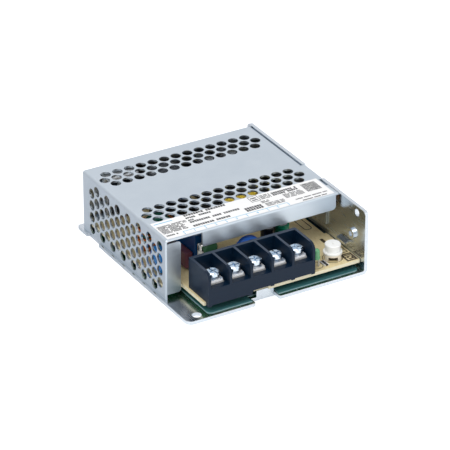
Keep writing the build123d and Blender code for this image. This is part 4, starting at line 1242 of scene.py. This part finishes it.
def helix(name, radius, wire, rise, turns, foot, sides, steps):
    """A helix of round wire that starts at a foot point and goes up."""
    bpy.ops.mesh.primitive_circle_add(
        vertices=sides, radius=wire / 2, location=(radius, 0, 0),
        rotation=(math.radians(90), 0, 0),
    )
    coil = settle(name)
    apply_modifier(
        coil, "SCREW", iterations=turns, screw_offset=rise, steps=steps, render_steps=steps
    )
    edit_all(
        coil,
        lambda: bpy.ops.mesh.fill_holes(sides=0),
        lambda: bpy.ops.mesh.normals_make_consistent(inside=False),
        lambda: bpy.ops.transform.translate(value=foot),
    )
    for face in coil.data.polygons:
        face.use_smooth = len(face.vertices) == 4
    return coil


drum_low, drum_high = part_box("output_choke_winding")
drum_centre = (drum_low + drum_high) / 2
drum_wire = 0.8 * mm
drum_rise = 0.84 * mm
drum_turns = int((drum_high.z - drum_low.z - drum_wire) / drum_rise)
drum_winding = helix(
    "output_choke_turns", (drum_high.x - drum_low.x - drum_wire) / 2, drum_wire, drum_rise,
    drum_turns, (drum_centre.x, drum_centre.y, drum_low.z + drum_wire / 2), 8, 32,
)
finish_piece(drum_winding, enamel, "copper_wire", "output_choke_winding")

# %% [markdown]
# Between a screw's head and its clamp the neck shows. The thread on it is a fine helix with a
# section of four sides, which is sharp as a thread is. It is modelled once and copied to each
# screw.

# %% The screws' threads
neck_radius = 1.75 * mm
neck_height = 1.3 * mm
thread_rise = 0.7 * mm
thread_wire = 0.32 * mm
screws_low, screws_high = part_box("terminal_screws")
first_thread = helix(
    "thread", neck_radius, thread_wire, thread_rise, int(neck_height / thread_rise),
    (0, (screws_low.y + screws_high.y) / 2, clamps_high.z + 0.2 * mm), 4, 24,
)
threads = [
    copy_of(first_thread, "thread", Matrix.Translation((centre.x, 0, 0)))
    for centre in contact_centres
]
bpy.data.objects.remove(first_thread, do_unlink=True)
screw_threads = joined("terminal_screw_threads", threads)
finish_piece(screw_threads, zinc_plate, "zinc_screw")

# %% [markdown]
# ## Solder
#
# Leads that pass through the board are soldered below it. The places could be typed in, but
# they are found in the solids' own points, so the joints follow the pins: all points under the
# board that lie within one pin's reach of each other are one pin.

# %% Finding the pins
pin_reach = 2.0 * mm


def pins_below(node):
    """The centres of a solid's pins: its points under the board, gathered pin by pin."""
    pins = []
    for vertex in nodes[node].data.vertices:
        point = vertex.co
        if point.z > board_low.z - skin:
            continue
        same_pin = [pin for pin in pins if (pin[0] - point).xy.length < pin_reach]
        if same_pin:
            same_pin[0].append(point)
        else:
            pins.append([point])
    return [
        tuple((min(p[axis] for p in pin) + max(p[axis] for p in pin)) / 2 for axis in (0, 1))
        for pin in pins
    ]


soldered = contact_names + ["transformer_bobbin"]
pin_places = [pin for node in soldered for pin in pins_below(node)]
print(len(pin_places), "pins pass through the board")

# %% [markdown]
# A joint is a small cone of solder with a soft rim. It is modelled once, and a copy goes to
# each pin. Solder that has set is bright with a frosted bloom, so its gloss wanders.

# %% The solder joints
joint_sides = 16
solder_tip = 0.5 * mm
solder_rim = 1.15 * mm
solder_height = 0.8 * mm
solder_rounding = 0.18 * mm
bpy.ops.mesh.primitive_cone_add(
    vertices=joint_sides, radius1=solder_tip, radius2=solder_rim, depth=solder_height,
    location=(0, 0, board_low.z - solder_height / 2),
)
first_joint = settle("solder_joint")
edit_faces(
    first_joint,
    lambda face: abs(face.normal.z) > 0.9,
    lambda: bpy.ops.mesh.bevel(offset=solder_rounding, segments=3),
)
joints = [
    copy_of(first_joint, "joint", Matrix.Translation((x, y, 0))) for x, y in pin_places
]
bpy.data.objects.remove(first_joint, do_unlink=True)
solder_joints = joined("solder_joints", joints)
for face in solder_joints.data.polygons:
    face.use_smooth = True

solder, tree, shader = start_material("tin_solder", Metallic=1.0)
frosting = speckle(tree, 0.8 * mm)
add_node(
    tree, "ShaderNodeMix", {0: frosting, 6: linear("b9bcc0"), 7: linear("d6d9dc")},
    shader.inputs["Base Color"], data_type="RGBA",
)
add_node(
    tree, "ShaderNodeMapRange", {0: frosting, 1: 0.3, 2: 0.7, 3: 0.22, 4: 0.38},
    shader.inputs["Roughness"],
)
finish_piece(solder_joints, solder, "tinned_brass")

# %% [markdown]
# Every piece is in place.

# %% The end
bpy.context.view_layer.update()
